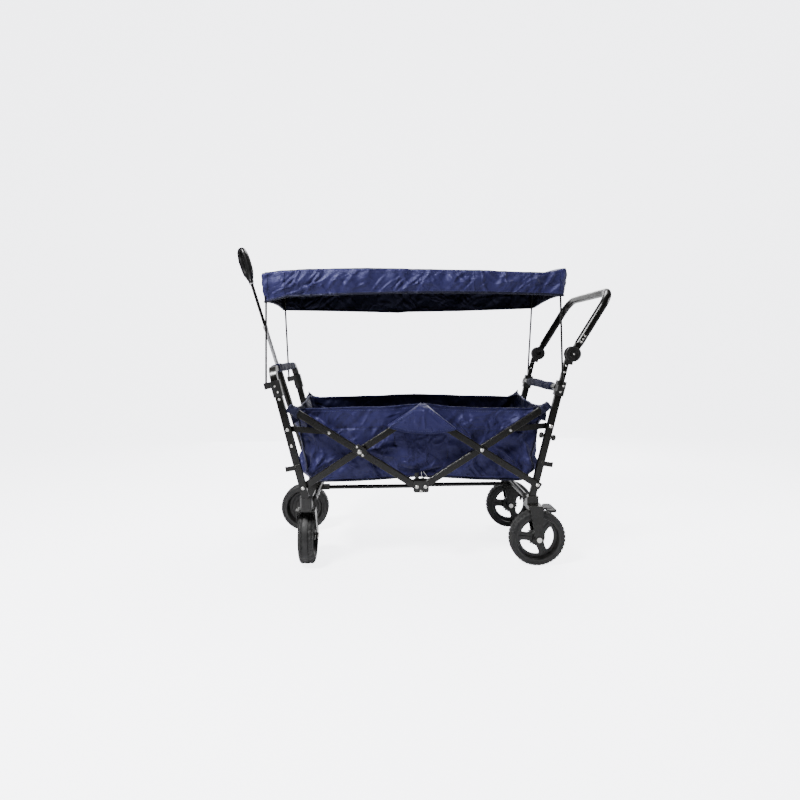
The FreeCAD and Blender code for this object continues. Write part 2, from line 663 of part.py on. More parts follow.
def caster_sockets():
    """Moulded block on each front post's foot that holds the caster stem."""
    x = -D["caster_x"]
    y = -D["caster_y"]
    low = D["socket_low"]
    height = D["socket_high"] - low
    barrel = cylinder("socket_barrel", 17, height, (x, y, low), (0, 0, 1))
    shoe = box("socket_shoe", 36, 46, height - 4, (x + 8, y - 6, low + height / 2), None)
    shoe_skin = rounded("socket_skin", shoe, 6, (0, 0, 1))
    flange = cylinder("socket_flange", 23, 4, (x, y, low), (0, 0, 1))
    solid = fuse("socket_solid", [barrel, shoe_skin, flange])
    bore = cylinder("socket_bore", "stem_radius + 0.06", height + 2, (x, y, low - 1), (0, 0, 1))
    seat = box("socket_seat", "post_depth + 0.1", "post_width + 0.1", D["post_foot"] + 60,
               (0, -D["front_post_y"], 30 - D["post_foot"] / 2), post_frame(-1))
    both_sides("caster_sockets", cut("socket_left", solid, [bore, seat]))


def rear_forks():
    """Inverted fork under each rear post: a crown over the wheel and two tapered legs."""
    x = D["rear_axle_x"]
    y = -D["rear_wheel_y"]
    inner = D["rear_fork_inner"]
    plate = D["fork_plate"]
    crown_low = D["rear_crown_low"]
    collar_height = 30
    crown = box("fork_crown", 50, 2 * (inner + plate), 14, (x - 14, y, crown_low + 7))
    collar_z = crown_low + 14 + collar_height / 2
    collar = box("fork_collar", 40, 34, collar_height, (x - 20, -D["rear_post_y"], collar_z))
    seat = box("fork_seat", "post_depth + 0.1", "post_width + 0.1", 90,
               (0, -D["rear_post_y"], 45 - D["post_foot"]), post_frame(1))
    legs = []
    holes = []
    drop = crown_low + 7 - D["rear_axle_z"]
    lean = math.degrees(math.atan2(10, drop))
    for way in (-1, 1):
        leg = doc.addObject("Part::Wedge", f"fork_leg{way + 1}")
        leg.Xmin, leg.Xmax, leg.X2min, leg.X2max = -24, 24, -12, 12
        leg.Ymin, leg.Ymax = 0, math.hypot(10, drop)
        leg.Zmin, leg.Zmax, leg.Z2min, leg.Z2max = 0, plate, 0, plate
        down = at(x - 10, y + way * (inner + plate / 2) + plate / 2, crown_low + 7, about_y(-lean))
        leg.Placement = down.multiply(Placement(Vector(), Rotation(Vector(1, 0, 0), -90))).multiply(
            Placement(Vector(0, 0, -plate), Rotation()))
        legs.append(leg)
        legs.append(cylinder(f"fork_eye{way + 1}", 12.5, "fork_plate",
                             (x, y + way * inner + (0 if way > 0 else -plate),
                              D["rear_axle_z"]), (0, 1, 0)))
    solid = fuse("fork_solid", [crown, collar] + legs)
    holes.append(cylinder("fork_hole", "axle_radius + 0.02", 90, (x, y - 45, D["rear_axle_z"]), (0, 1, 0)))
    holes.append(cylinder("fork_brake_hole", "brake_rod_radius + pivot_gap", 60,
                          (D["brake_x"], y + 20, D["brake_z"]), (0, 1, 0)))
    gusset = box("fork_gusset", 52, "fork_plate", 34,
                 (D["brake_x"] - 16, y + inner + plate / 2, D["brake_z"] + 6))
    whole = fuse("fork_whole", [solid, gusset])
    left = cut("fork_left", whole, holes + [seat])
    joined = fuse("fork_frame", [left, mirrored(left), cross_tube(1, "rear_cross", False)])
    piece(joined, "rear_fork_frame")


def rear_axles():
    x = D["rear_axle_x"]
    y = -D["rear_wheel_y"]
    z = D["rear_axle_z"]
    reach = D["rear_fork_inner"] + D["fork_plate"]
    parts = [cylinder("rear_axle_rod", "axle_radius", 2 * reach, (x, y - reach, z), (0, 1, 0))]
    for way in (-1, 1):
        parts.append(cylinder(f"rear_axle_nut{way + 1}", "axle_radius + 4", "axle_nut",
                              (x, y + way * reach, z), (0, way, 0)))
    spacer = D["rear_fork_inner"] - D["rear_tyre_width"] / 2 - 1.4
    parts.append(cylinder("rear_axle_spacer", "axle_radius + 3", spacer,
                          (x, y - D["rear_fork_inner"], z), (0, 1, 0)))
    both_sides("rear_axles", fuse("rear_axle_left", parts))


# ------------------------------------------------------------------ handle, push bar, brake
def handle_frame():
    return at(-D["handle_pivot_x"], 0, D["handle_pivot_z"], about_y(-D["handle_lean"]))


def pull_handle():
    """Three telescoping tubes on a pivot at the front cross tube, and the closed loop grip."""
    frame = handle_frame()
    up = (0, 0, 1)
    radius = D["handle_tube_radius"]
    top = D["handle_outer_length"]
    collar_length = 22
    skin = cylinder("handle_outer_skin", "handle_tube_radius", "handle_outer_length", (0, 0, 0), up, frame)
    eye = doc.addObject("Part::Sphere", "handle_eye")
    bind(eye, "Radius", "handle_tube_radius")
    eye.Placement = frame
    pin = cylinder("handle_pin", "rivet_radius", 2 * radius + 10, (0, -radius - 5, 0), (0, 1, 0), frame)
    bore = cylinder("handle_outer_bore", "handle_tube_radius - 1.4", top - 40 - collar_length,
                    (0, 0, 40), up, frame)
    throat = cylinder("handle_throat", "handle_stage_radius + slide_gap", collar_length + 4,
                      (0, 0, top - collar_length - 1), up, frame)
    piece(cut("handle_outer_cut", fuse("handle_outer_solid", [skin, eye, pin]), [bore, throat]),
          "handle_outer_tube")
    end = D["handle_stage_end"]
    length = D["handle_stage_length"]
    rod = cylinder("handle_stage_skin", "handle_stage_radius", length, (0, 0, end - length), up, frame)
    hollow = cylinder("handle_stage_bore", "handle_tip_radius + slide_gap", length + 2,
                      (0, 0, end - length - 1), up, frame)
    collar = cylinder("handle_stage_collar", "handle_stage_radius + 1.6", 14, (0, 0, end - 14), up, frame)
    piece(cut("handle_stage_tube", fuse("handle_stage_solid", [rod, collar]), [hollow]),
          "handle_middle_tube")
    start = D["handle_grip_start"]
    tip_length = D["handle_tip_length"]
    tip = cylinder("handle_tip_skin", "handle_tip_radius", tip_length, (0, 0, start - tip_length),
                   up, frame)
    tip_bore = cylinder("handle_tip_bore", "handle_tip_radius - 1.2", tip_length - 20,
                        (0, 0, start - tip_length - 1), up, frame)
    piece(cut("handle_tip_tube", tip, [tip_bore]), "handle_upper_tube")
    grip_frame = frame.multiply(at(0, 0, start + D["handle_grip_length"] / 2,
                                   Rotation(Vector(0, 0, 1), D["handle_grip_turn"])))
    blank = box("grip_blank", 28, "handle_grip_width", "handle_grip_length", (0, 0, 0), grip_frame)
    across = grip_frame.Rotation.multVec(Vector(1, 0, 0))
    block = rounded("grip_block", blank, 20, tuple(across))
    window = box("grip_window", 60, 24, 84, (0, 0, 12), grip_frame)
    window_skin = rounded("grip_window_skin", window, 11, tuple(across))
    piece(cut("grip_cut", block, [window_skin]), "handle_grip")


def push_bar():
    stem_frame = post_frame(1)
    y = -D["rear_post_y"]
    low = D["stem_bottom"]
    high = D["stem_top"]
    middle = (0, y, (low + high) / 2)
    skin = box("stem_skin", "stem_depth", "stem_width", high - low, middle, stem_frame)
    bore = box("stem_bore", "stem_depth - 2 * stem_wall", "stem_width - 2 * stem_wall",
               high - low + 4, middle,
               stem_frame)
    holes = []
    for index, along in enumerate((405, 428)):
        holes.append(cylinder(f"stem_hole{index}", 3, 30, (0, y - 15, along), (0, 1, 0), stem_frame))
    both_sides("push_bar_stems", cut("stem_left", skin, [bore] + holes))
    # Knuckle housings: a disc either side of the push bar's end, over a socket for the stem.
    x = D["knuckle_x"]
    z = D["knuckle_z"]
    width = D["knuckle_width"]
    disc = cylinder("knuckle_disc", "knuckle_radius", width, (x, y - width / 2, z), (0, 1, 0))
    neck = box("knuckle_neck", 25, width - 2, 36, (7, y, high + 6), stem_frame)
    solid = fuse("knuckle_solid", [disc, neck])
    stem_seat = box("knuckle_seat", "stem_depth + 0.1", "stem_width + 0.1", 60, (0, y, high - 30),
                    stem_frame)
    tongue_gap = cylinder("knuckle_gap", "knuckle_radius + 12", 16.6, (x, y - 8.3, z), (0, 1, 0))
    pin_hole = cylinder("knuckle_bore", "button_radius + button_gap", width + 4,
                        (x, y - width / 2 - 2, z), (0, 1, 0))
    keep = box("knuckle_keep", 80, 40, 60, (0, y, high - 30), stem_frame)
    slot = cut("knuckle_slot", tongue_gap, [keep])
    both_sides("push_bar_knuckles", cut("knuckle_left", solid, [stem_seat, slot, pin_hole]))
    # Push bar: tongue discs inside the knuckles and a bent tube over them.
    label = "push_bar"
    lean = at(x, 0, z, about_y(D["push_lean"]))
    body = doc.addObject("PartDesign::Body", "push_tube")
    path = new_sketch(body, "push_path", "YZ_Plane")
    arm = D["push_arm"]
    bent_path(path, [(y, 40), (y, arm), (-y, arm), (-y, 40)], D["push_bend"])
    profile = new_sketch(body, "push_profile", "XY_Plane")
    profile.AttachmentOffset = at(0, 0, 40)
    for expression in ("push_tube_radius", "push_tube_radius - stem_wall"):
        index = bound_circle(profile, (0, y), expression)
        profile.addConstraint(Sketcher.Constraint("DistanceY", index, 3, y))
        profile.addConstraint(Sketcher.Constraint("DistanceX", index, 3, 0))
    pipe = body.newObject("PartDesign::AdditivePipe", "push_pipe")
    pipe.Profile = profile
    pipe.Spine = path
    body.Tip = pipe
    body.Placement = lean
    tongues = []
    for side_name, side in SIDES:
        y_side = side * D["rear_post_y"]
        tongues.append(cylinder(f"tongue_disc_{side_name}", "knuckle_radius - 3", 16,
                                (x, y_side - 8, z), (0, 1, 0)))
        tongues.append(box(f"tongue_{side_name}", 22, 16, 52, (0, y_side, 27), lean))
    bores = []
    for side_name, side in SIDES:
        y_side = side * D["rear_post_y"]
        bores.append(cylinder(f"tongue_bore_{side_name}", "button_radius + button_gap", 40,
                              (x, y_side - 20, z), (0, 1, 0)))
    piece(cut("push_bar_cut", fuse("push_bar_solid", [body] + tongues), bores), label)
    reach = width / 2 + D["button_proud"]
    button = cylinder("button_core", "button_radius", reach + 2, (x, y - reach, z), (0, 1, 0))
    piece(button, "left_knuckle_button")
    piece(mirrored(button), "right_knuckle_button")


def brake_bar():
    """Rod across the rear forks with a pedal in the middle and a pin arm at each wheel."""
    x = D["brake_x"]
    z = D["brake_z"]
    half = D["rear_wheel_y"] - 30 + 2
    parts = [cylinder("brake_rod", "brake_rod_radius", 2 * half, (x, -half, z), (0, 1, 0))]
    parts.append(box("brake_arm", 76, 40, 6, (x + 36, 0, z - 6), None))
    pad = box("brake_pad", 34, 96, 9, (x + 70, 0, z - 9), None)
    parts.append(rounded("brake_pad_skin", pad, 10, (0, 0, 1)))
    inner = D["rear_wheel_y"] - 30 - D["fork_plate"] - 1
    for side_name, side in SIDES:
        parts.append(box(f"brake_arm_{side_name}", 9, 8, D["brake_pin_drop"],
                         (x, side * (inner - 5), z - D["brake_pin_drop"] / 2)))
        parts.append(cylinder(f"brake_pin_{side_name}", "brake_pin_radius", 20,
                              (x, side * (inner - 8), z - D["brake_pin_drop"]), (0, side, 0)))
    piece(fuse("brake_solid", parts), "brake_bar")
    return half


# ------------------------------------------------------------------ small fittings
def strap_hooks(end, label):
    """Bent wire-like clip under each post's lower pivot that holds the basket's strap."""
    x, z = on_post(end, D["hook_rise"])
    post_y = D["front_post_y"] if end < 0 else D["rear_post_y"]
    face = post_y + D["post_width"] / 2
    frame = at(x + end * 2, -face - 1.6, z, about_y(end * 10))
    plate = box(label + "_plate", "hook_length", 3, "hook_height", (end * 12, 0, 0), frame)
    tip = box(label + "_tip", 3, 12, "hook_height", (end * (D["hook_length"] / 2 + 11), 5, 0), frame)
    stud = cone(label + "_stud", 5, 3, 2.5, (end * 2, -1.5, 0), (0, -1, 0), frame)
    both_sides(label, fuse(label + "_left", [plate, tip, stud]))


def pole_brackets(end, label):
    """Moulded sleeve around the post with an outward ear that holds a canopy pole's foot."""
    frame = post_frame(end)
    post_y = D["front_post_y"] if end < 0 else D["rear_post_y"]
    middle = D["front_bracket_rise"] if end < 0 else D["rear_post_top"] - 14
    height = "front_bracket_height" if end < 0 else "rear_bracket_height"
    outer = box(label + "_outer", "post_depth + 8", "post_width + 8", height, (0, -post_y, middle), frame)
    along = frame.Rotation.multVec(Vector(0, 0, 1))
    skin = rounded(label + "_skin", outer, 4, tuple(along))
    foot_x, foot_z, foot_y = pole_foot(end)
    ear_centre = frame.inverse().multVec(Vector(foot_x, 0, foot_z - 6))
    ear = box(label + "_ear", 26, 14, 22, (ear_centre.x - end * 7, -foot_y, ear_centre.z), frame)
    solids = [skin, ear]
    for index, (offset, rise) in enumerate(((2, 10), (-3, -12))):
        face = post_y + D["post_width"] / 2 + 4
        solids.append(cone(f"{label}_screw{index}", 4, 2.6, 2, (end * offset, -face, middle + rise),
                           (0, -1, 0), frame))
    bore = box(label + "_bore", "post_depth + 0.1", "post_width + 0.1", height + " + 4",
               (0, -post_y, middle), frame)
    holes = [bore, cylinder(label + "_socket", "pole_radius + 0.05", 60, (foot_x, -foot_y, foot_z),
                            pole_direction(end))]
    if end > 0:
        x, z = on_post(1, D["crossbar_rise"], -D["crossbar_inset"])
        holes.append(cylinder(label + "_notch", "cross_tube_radius + 0.1", 60, (x, -post_y, z), (0, 1, 0)))
    both_sides(label, cut(label + "_left", fuse(label + "_solid", solids), holes))


def pole_foot(end):
    """Foot of a canopy pole: x, z, and distance from the middle plane."""
    if end < 0:
        return -527, 654, 226
    return 492, 636, 229


def pole_direction(end):
    x, z, y = pole_foot(end)
    top_x = -528 if end < 0 else 493
    run = Vector(top_x - x, -(171 - y), D["canopy_top_z"] - D["canopy_thick"] - 6 - z)
    return run.x, run.y, run.z


def canopy_poles(end, label):
    x, z, y = pole_foot(end)
    run = Vector(*pole_direction(end))
    rod = cylinder(label + "_rod", "pole_radius", run.Length, (x, -y, z), tuple(run))
    both_sides(label, rod)


# ------------------------------------------------------------------ soft parts
def truncated(name, low, high):
    """Solid between two centred rectangles; each is (half x, half y, z)."""
    wedge = doc.addObject("Part::Wedge", name)
    for prop, text in (("Xmin", f"-({low[0]})"), ("Xmax", low[0]), ("X2min", f"-({high[0]})"),
                       ("X2max", high[0]), ("Ymin", 0), ("Ymax", f"({high[2]}) - ({low[2]})"),
                       ("Zmin", f"-({low[1]})"), ("Zmax", low[1]), ("Z2min", f"-({high[1]})"),
                       ("Z2max", high[1])):
        bind(wedge, prop, text)
    bind(wedge, "Placement.Base.z", low[2])
    return wedge


def basket():
    outer = truncated("basket_outer", ("basket_floor_x", "basket_floor_y", "basket_floor_z"),
                      ("basket_top_x", "basket_top_y", "basket_top_z"))
    inner = truncated("basket_inner",
                      ("basket_floor_x - fabric", "basket_floor_y - fabric", "basket_floor_z + fabric"),
                      ("basket_top_x - fabric", "basket_top_y - fabric", "basket_top_z + 0.01"))
    for wedge in (outer, inner):
        wedge.Placement = Placement(wedge.Placement.Base, Rotation(Vector(1, 0, 0), 90))
    outer.Placement.Base = Vector(0, 0, D["basket_floor_z"])
    inner.Placement.Base = Vector(0, 0, D["basket_floor_z"] + D["fabric"])
    piece(cut("basket_cut", outer, [inner]), "basket_shell")


def canopy():
    length = "canopy_front_x + canopy_rear_x"
    middle = (D["canopy_rear_x"] - D["canopy_front_x"]) / 2
    height = D["canopy_top_z"] - D["canopy_low_z"]
    outer = box("canopy_outer", length, "2 * canopy_y", height,
                (middle, 0, (D["canopy_top_z"] + D["canopy_low_z"]) / 2))
    skin = rounded("canopy_skin", outer, 14, (1, 0, 0))
    inner = box("canopy_inner", length + " - 2 * canopy_thick", "2 * canopy_y - 2 * canopy_thick", height,
                (middle, 0, (D["canopy_top_z"] + D["canopy_low_z"]) / 2 - D["canopy_thick"]))
    inner_skin = rounded("canopy_inner_skin", inner, 12, (1, 0, 0))
    # The cover's lower edges stay straight: only the upper pair of long edges is rounded.
    skirt = box("canopy_skirt", length, "2 * canopy_y", 40, (middle, 0, D["canopy_low_z"] + 20))
    skirt_hole = box("canopy_skirt_hole", length + " - 2 * canopy_thick",
                     "2 * canopy_y - 2 * canopy_thick", 60,
                     (middle, 0, D["canopy_low_z"] + 20))
    piece(cut("canopy_cut", fuse("canopy_solid", [skin, skirt]), [inner_skin, skirt_hole]), "canopy_cover")


# ------------------------------------------------------------------ build
scissor_sides()
crossing_rivets(-1, "front_crossing_rivets")
crossing_rivets(1, "rear_crossing_rivets")
bar_plugs(-1, "front_bar_plugs")
bar_plugs(1, "rear_bar_plugs")
hub("bottom_hubs", hub_z, 1)
hub("top_hubs", top_hub_z, -1)
hub_rivets("bottom_hub_rivets", hub_z)
hub_rivets("top_hub_rivets", top_hub_z)
front_frame()
rear_frame()
sleeves()
post_rivets(-1, "front_pivot_rivets", D["front_post_y"], D["inner_bar_y"])
post_rivets(1, "rear_pivot_rivets", D["rear_post_y"], D["outer_bar_y"])
links(-1, "front_links")
links(1, "rear_links")
piece(cross_tube(-1, "front_cross", True), "front_cross_tube")
floor_tube(-1, "front_floor_tube")
floor_tube(1, "rear_floor_tube")
caster("left", -1, 90)
caster("right", 1, 180)
caster_sockets()
rear_forks()
rear_axles()
for side_name, side in SIDES:
    wheel_y = side * D["rear_wheel_y"]
    rim(f"{side_name}_rear_rim", D["rear_axle_x"], wheel_y, D["rear_axle_z"], (0, 1, 0),
        "rear_tyre_width", True)
    tyre(f"{side_name}_rear_tyre", D["rear_axle_x"], wheel_y, D["rear_axle_z"], (0, 1, 0),
         "rear_tyre_width")
pull_handle()
push_bar()
brake_bar()
strap_hooks(-1, "front_strap_hooks")
strap_hooks(1, "rear_strap_hooks")
pole_brackets(-1, "front_pole_brackets")
pole_brackets(1, "rear_pole_brackets")
canopy_poles(-1, "front_canopy_poles")
canopy_poles(1, "rear_canopy_poles")
basket()
canopy()
doc.recompute()

failed = [feature.Label for feature in doc.Objects
          if "Invalid" in feature.State or "Error" in feature.State]
if failed:
    raise RuntimeError(f"failed: {failed}")
for feature in PIECES:
    if feature.Shape.isNull() or not feature.Shape.isValid() or not feature.Shape.Solids:
        raise RuntimeError(f"{feature.Label} has no valid solid")
os.makedirs("parts", exist_ok=True)
for feature in PIECES:
    feature.Shape.exportStep(f"parts/{feature.Label}.step")
print(len(PIECES), "pieces")
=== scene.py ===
import json
import math

import bmesh
import bpy
import numpy as np
from mathutils import Matrix, Vector

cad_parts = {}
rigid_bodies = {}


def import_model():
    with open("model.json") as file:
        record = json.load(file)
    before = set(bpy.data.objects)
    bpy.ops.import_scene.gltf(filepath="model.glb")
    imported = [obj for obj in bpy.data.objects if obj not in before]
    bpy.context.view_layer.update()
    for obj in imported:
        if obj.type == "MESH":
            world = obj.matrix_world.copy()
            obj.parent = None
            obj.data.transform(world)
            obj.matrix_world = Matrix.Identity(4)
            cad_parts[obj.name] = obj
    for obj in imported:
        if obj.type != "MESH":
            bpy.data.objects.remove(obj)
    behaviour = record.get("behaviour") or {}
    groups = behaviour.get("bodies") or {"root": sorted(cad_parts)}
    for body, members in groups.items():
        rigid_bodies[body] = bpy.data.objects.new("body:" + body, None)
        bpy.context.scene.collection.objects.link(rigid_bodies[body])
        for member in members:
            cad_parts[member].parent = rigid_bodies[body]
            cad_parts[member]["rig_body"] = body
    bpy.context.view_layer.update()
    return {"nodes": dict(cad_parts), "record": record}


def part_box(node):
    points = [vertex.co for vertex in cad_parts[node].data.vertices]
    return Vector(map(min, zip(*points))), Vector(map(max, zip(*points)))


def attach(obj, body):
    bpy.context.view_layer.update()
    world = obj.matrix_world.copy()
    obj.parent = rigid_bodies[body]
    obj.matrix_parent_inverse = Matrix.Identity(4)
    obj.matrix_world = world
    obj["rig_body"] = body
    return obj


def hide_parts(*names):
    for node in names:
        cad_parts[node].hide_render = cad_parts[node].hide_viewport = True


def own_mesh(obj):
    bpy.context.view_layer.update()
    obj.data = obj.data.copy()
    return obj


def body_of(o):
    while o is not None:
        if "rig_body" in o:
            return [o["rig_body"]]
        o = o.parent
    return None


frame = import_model()
NODES = frame["nodes"]
SIDES = (("left", -1), ("right", 1))


# ---------------------------------------------------------------- node materials
class Nodes:
    """A material's node tree, with short calls for the nodes used here."""

    def __init__(self, name):
        self.material = bpy.data.materials.new(name)
        self.material.use_nodes = True
        self.tree = self.material.node_tree
        self.tree.nodes.clear()
        self.out = self.tree.nodes.new("ShaderNodeOutputMaterial")
        self.shader = self.tree.nodes.new("ShaderNodeBsdfPrincipled")
        self.link(self.shader.outputs[0], self.out.inputs[0])

    def link(self, source, target):
        self.tree.links.new(source, target)

    def put(self, socket, value):
        if isinstance(value, bpy.types.NodeSocket):
            self.link(value, socket)
        else:
            socket.default_value = value

    def node(self, kind, output=0, settings=None, **inputs):
        made = self.tree.nodes.new("ShaderNode" + kind)
        for key, value in (settings or {}).items():
            setattr(made, key, value)
        for key, value in inputs.items():
            socket = made.inputs[int(key[1:])] if key[0] == "_" and key[1:].isdigit() else made.inputs[key]
            self.put(socket, value)
        return made.outputs[output]

    def set(self, **inputs):
        for key, value in inputs.items():
            self.put(self.shader.inputs[key.replace("_", " ")], value)

    def coordinates(self, which="Object"):
        made = self.tree.nodes.new("ShaderNodeTexCoord")
        return made.outputs[which]

    def noise(self, scale, detail=2.0, vector=None, roughness=0.5, distortion=0.0):
        return self.node("TexNoise", Vector=vector or self.coordinates(), Scale=scale, Detail=detail,
                         Roughness=roughness, Distortion=distortion)

    def math(self, operation, a, b=0.0, clamp=False):
        return self.node("Math", settings={"operation": operation, "use_clamp": clamp}, _0=a, _1=b)

    def remap(self, value, low, high, to_low, to_high):
        made = self.tree.nodes.new("ShaderNodeMapRange")
        for socket, number in zip(made.inputs, (value, low, high, to_low, to_high)):
            self.put(socket, number)
        return made.outputs[0]

    def mix(self, factor, a, b):
        made = self.tree.nodes.new("ShaderNodeMix")
        made.data_type = "RGBA"
        self.put(made.inputs[0], factor)
        self.put(made.inputs[6], a)
        self.put(made.inputs[7], b)
        return made.outputs[2]

    def bump(self, height, strength, distance, normal=None):
        made = self.tree.nodes.new("ShaderNodeBump")
        self.put(made.inputs["Strength"], strength)
        self.put(made.inputs["Distance"], distance)
        self.put(made.inputs["Height"], height)
        if normal is not None:
            self.put(made.inputs["Normal"], normal)
        return made.outputs[0]


def rgb(red, green, blue):
    return (red, green, blue, 1.0)


def bevelled(nodes, radius):
    return nodes.node("Bevel", settings={"samples": 4}, Radius=radius)


def edge_mask(nodes, soft_normal, low, high):
    """1 along edges, where the rounded normal leaves the flat one, broken up by a noise; paint() pales these
    edges for rubbed wear and a painted highlight.
    """
    flat = nodes.tree.nodes.new("ShaderNodeNewGeometry").outputs["Normal"]
    agree = nodes.node("VectorMath", output=1, settings={"operation": "DOT_PRODUCT"}, _0=soft_normal,
                       _1=flat)
    away = nodes.math("SUBTRACT", 1.0, agree)
    broken = nodes.math("MULTIPLY", away, nodes.remap(nodes.noise(90.0, 3.0), 0.35, 0.7, 0.25, 1.3))
    return nodes.remap(broken, low, high, 0.0, 1.0)


def paint(name, colour, rough, edge_wear_and_highlight, grain=900.0):
    """Baked black powder coat: orange-peel bump, faint dust, upward faces a little paler, edges paled to
    grey: partly rubbed wear, partly a painted highlight on the edges that face up.
    """
    n = Nodes(name)
    soft = bevelled(n, 0.0024)
    dust = n.remap(n.noise(7.0, 5.0), 0.4, 0.75, 0.0, 0.22)
    base = n.mix(dust, rgb(*colour), rgb(*[c * 2.0 + 0.002 for c in colour]))
    upward = n.node("SeparateXYZ", output=2, _0=n.tree.nodes.new("ShaderNodeNewGeometry").outputs["Normal"])
    # Painted highlight: the edge paling is scaled by how far the rounded normal faces up, as if the top edges
    # caught the light; the rest of the paling is rubbed wear.
    lit = n.remap(n.node("SeparateXYZ", output=2, _0=soft), 0.15, 0.75, 0.12, 1.0)
    edges = n.math("MULTIPLY", edge_mask(n, soft, 0.015, 0.2), lit)
    # Upward faces are mixed a little toward paler grey, by how far the face points up.
    upward_paler = n.remap(upward, 0.55, 0.95, 0.0, 0.10)
    base = n.mix(upward_paler, base, rgb(0.12, 0.12, 0.115))
    # Edges mixed toward pale grey: rubbed wear plus the painted highlight on upward edges.
    n.set(Base_Color=n.mix(n.math("MULTIPLY", edges, edge_wear_and_highlight), base, rgb(0.42, 0.41, 0.38)),
          Roughness=n.remap(n.noise(30.0, 4.0), 0.3, 0.7, rough - 0.06, rough + 0.1),
          Normal=n.bump(n.noise(grain, 2.0), 0.12, 0.0004, soft))
    n.shader.inputs["Specular IOR Level"].default_value = 0.3
    n.shader.inputs["Coat Weight"].default_value = 0.12
    n.shader.inputs["Coat Roughness"].default_value = 0.16
    return n.material


def metal(name, colour, rough, scratches):
    n = Nodes(name)
    soft = bevelled(n, 0.0007)
    place = n.node("Mapping", Vector=n.coordinates(), Scale=(1.0, 1.0, 0.08))
    streaks = n.noise(1400.0, 2.0, place)
    tarnish = n.remap(n.noise(60.0, 4.0), 0.45, 0.7, 0.0, 0.35)
    n.set(Base_Color=n.mix(tarnish, rgb(*colour), rgb(*[c * 0.62 for c in colour])), Metallic=1.0,
          Roughness=n.remap(n.noise(220.0, 3.0), 0.3, 0.7, rough - 0.05, rough + 0.09),
          Normal=n.bump(streaks, scratches, 0.0003, soft))
    return n.material


def plastic(name, colour, rough, grain=1600.0):
    n = Nodes(name)
    soft = bevelled(n, 0.0009)
    spark = n.node("TexVoronoi", Vector=n.coordinates(), Scale=grain)
    shade = n.remap(n.noise(18.0, 4.0), 0.35, 0.7, 0.0, 0.5)
    n.set(Base_Color=n.mix(shade, rgb(*colour), rgb(*[c * 1.7 + 0.0015 for c in colour])),
          Roughness=n.remap(n.noise(45.0, 3.0), 0.3, 0.7, rough - 0.05, rough + 0.08),
          Normal=n.bump(spark, 0.12, 0.0003, soft))
    return n.material


def rubber(name):
    """Moulded tyre compound: matt, slightly dusty in the tread, fine mould grain."""
    n = Nodes(name)
    dust = n.remap(n.noise(34.0, 6.0), 0.42, 0.72, 0.0, 0.75)
    n.set(Base_Color=n.mix(dust, rgb(0.0055, 0.0055, 0.0058), rgb(0.016, 0.0155, 0.015)),
          Roughness=n.remap(n.noise(120.0, 4.0), 0.3, 0.7, 0.5, 0.68),
          Normal=n.bump(n.noise(1500.0, 3.0), 0.3, 0.0005))
    return n.material


def fabric(name, colour, deep, rough=0.40, pitch=0.0011, sheen=0.06, relief=0.35, tone=9.0,
           crease=0.006, shine=0.5):
    """Coated plain-weave polyester. The weave runs along the panel's own length and height."""
    n = Nodes(name)
    panel = n.coordinates("UV")
    split = n.tree.nodes.new("ShaderNodeSeparateXYZ")
    n.put(split.inputs[0], panel)
    turn = 2.0 * math.pi / pitch
    warp = n.math("SINE", n.math("MULTIPLY", split.outputs[0], turn))
    weft = n.math("SINE", n.math("MULTIPLY", split.outputs[1], turn))
    cross = n.math("MULTIPLY", warp, weft)
    ribs = n.math("ADD", n.math("MULTIPLY", n.math("ABSOLUTE", weft), 0.6), n.math("MULTIPLY", cross, 0.5))
    cloud = n.remap(n.noise(tone, 5.0), 0.33, 0.7, 0.0, 1.0)
    stretched = n.node("Mapping", Vector=panel, Scale=(0.12, 1.0, 1.0))
    slub = n.remap(n.noise(420.0, 2.0, stretched), 0.4, 0.7, 0.0, 0.3)
    base = n.mix(n.math("MULTIPLY", cloud, 0.5), rgb(*colour), rgb(*deep))
    base = n.mix(slub, base, rgb(*[c * 1.35 + 0.002 for c in colour]))
    base = n.mix(n.remap(cross, -1.0, 1.0, 0.0, 0.28), base, rgb(*[c * 0.55 for c in deep]))
    crumple = n.noise(46.0, 5.0, None, 0.55, 0.6)
    ridge = n.math("ABSOLUTE", n.math("SUBTRACT", n.noise(9.0, 3.0, None, 0.5, 1.1), 0.5))
    creases = n.bump(n.remap(ridge, 0.0, 0.09, 1.0, 0.0), 0.5, crease)
    coarse = n.bump(crumple, 0.25, 0.005, creases)
    n.set(Base_Color=base, Roughness=n.remap(cloud, 0.0, 1.0, rough - 0.04, rough + 0.08),
          Normal=n.bump(ribs, relief, 0.00025, coarse))
    n.shader.inputs["Specular IOR Level"].default_value = shine
    n.shader.inputs["Specular Tint"].default_value = rgb(0.5, 0.52, 0.95)
    n.shader.inputs["Sheen Weight"].default_value = sheen
    n.shader.inputs["Sheen Roughness"].default_value = 0.4
    n.shader.inputs["Sheen Tint"].default_value = rgb(0.62, 0.64, 0.9)
    return n.material


def webbing(name, colour, pale):
    """Ribbed narrow strap: ribs across its length, a finer twill between them."""
    n = Nodes(name)
    split = n.tree.nodes.new("ShaderNodeSeparateXYZ")
    n.put(split.inputs[0], n.coordinates("UV"))
    rib = n.math("SINE", n.math("MULTIPLY", split.outputs[0], 2.0 * math.pi / 0.0022))
    twill = n.math("SINE", n.math("MULTIPLY", n.math("ADD", split.outputs[0], split.outputs[1]), 5200.0))
    height = n.math("ADD", rib, n.math("MULTIPLY", twill, 0.4))
    n.set(Base_Color=n.mix(n.remap(height, -1.4, 1.4, 0.0, 1.0), rgb(*colour), rgb(*pale)), Roughness=0.7,
          Normal=n.bump(height, 0.6, 0.0004))
    return n.material


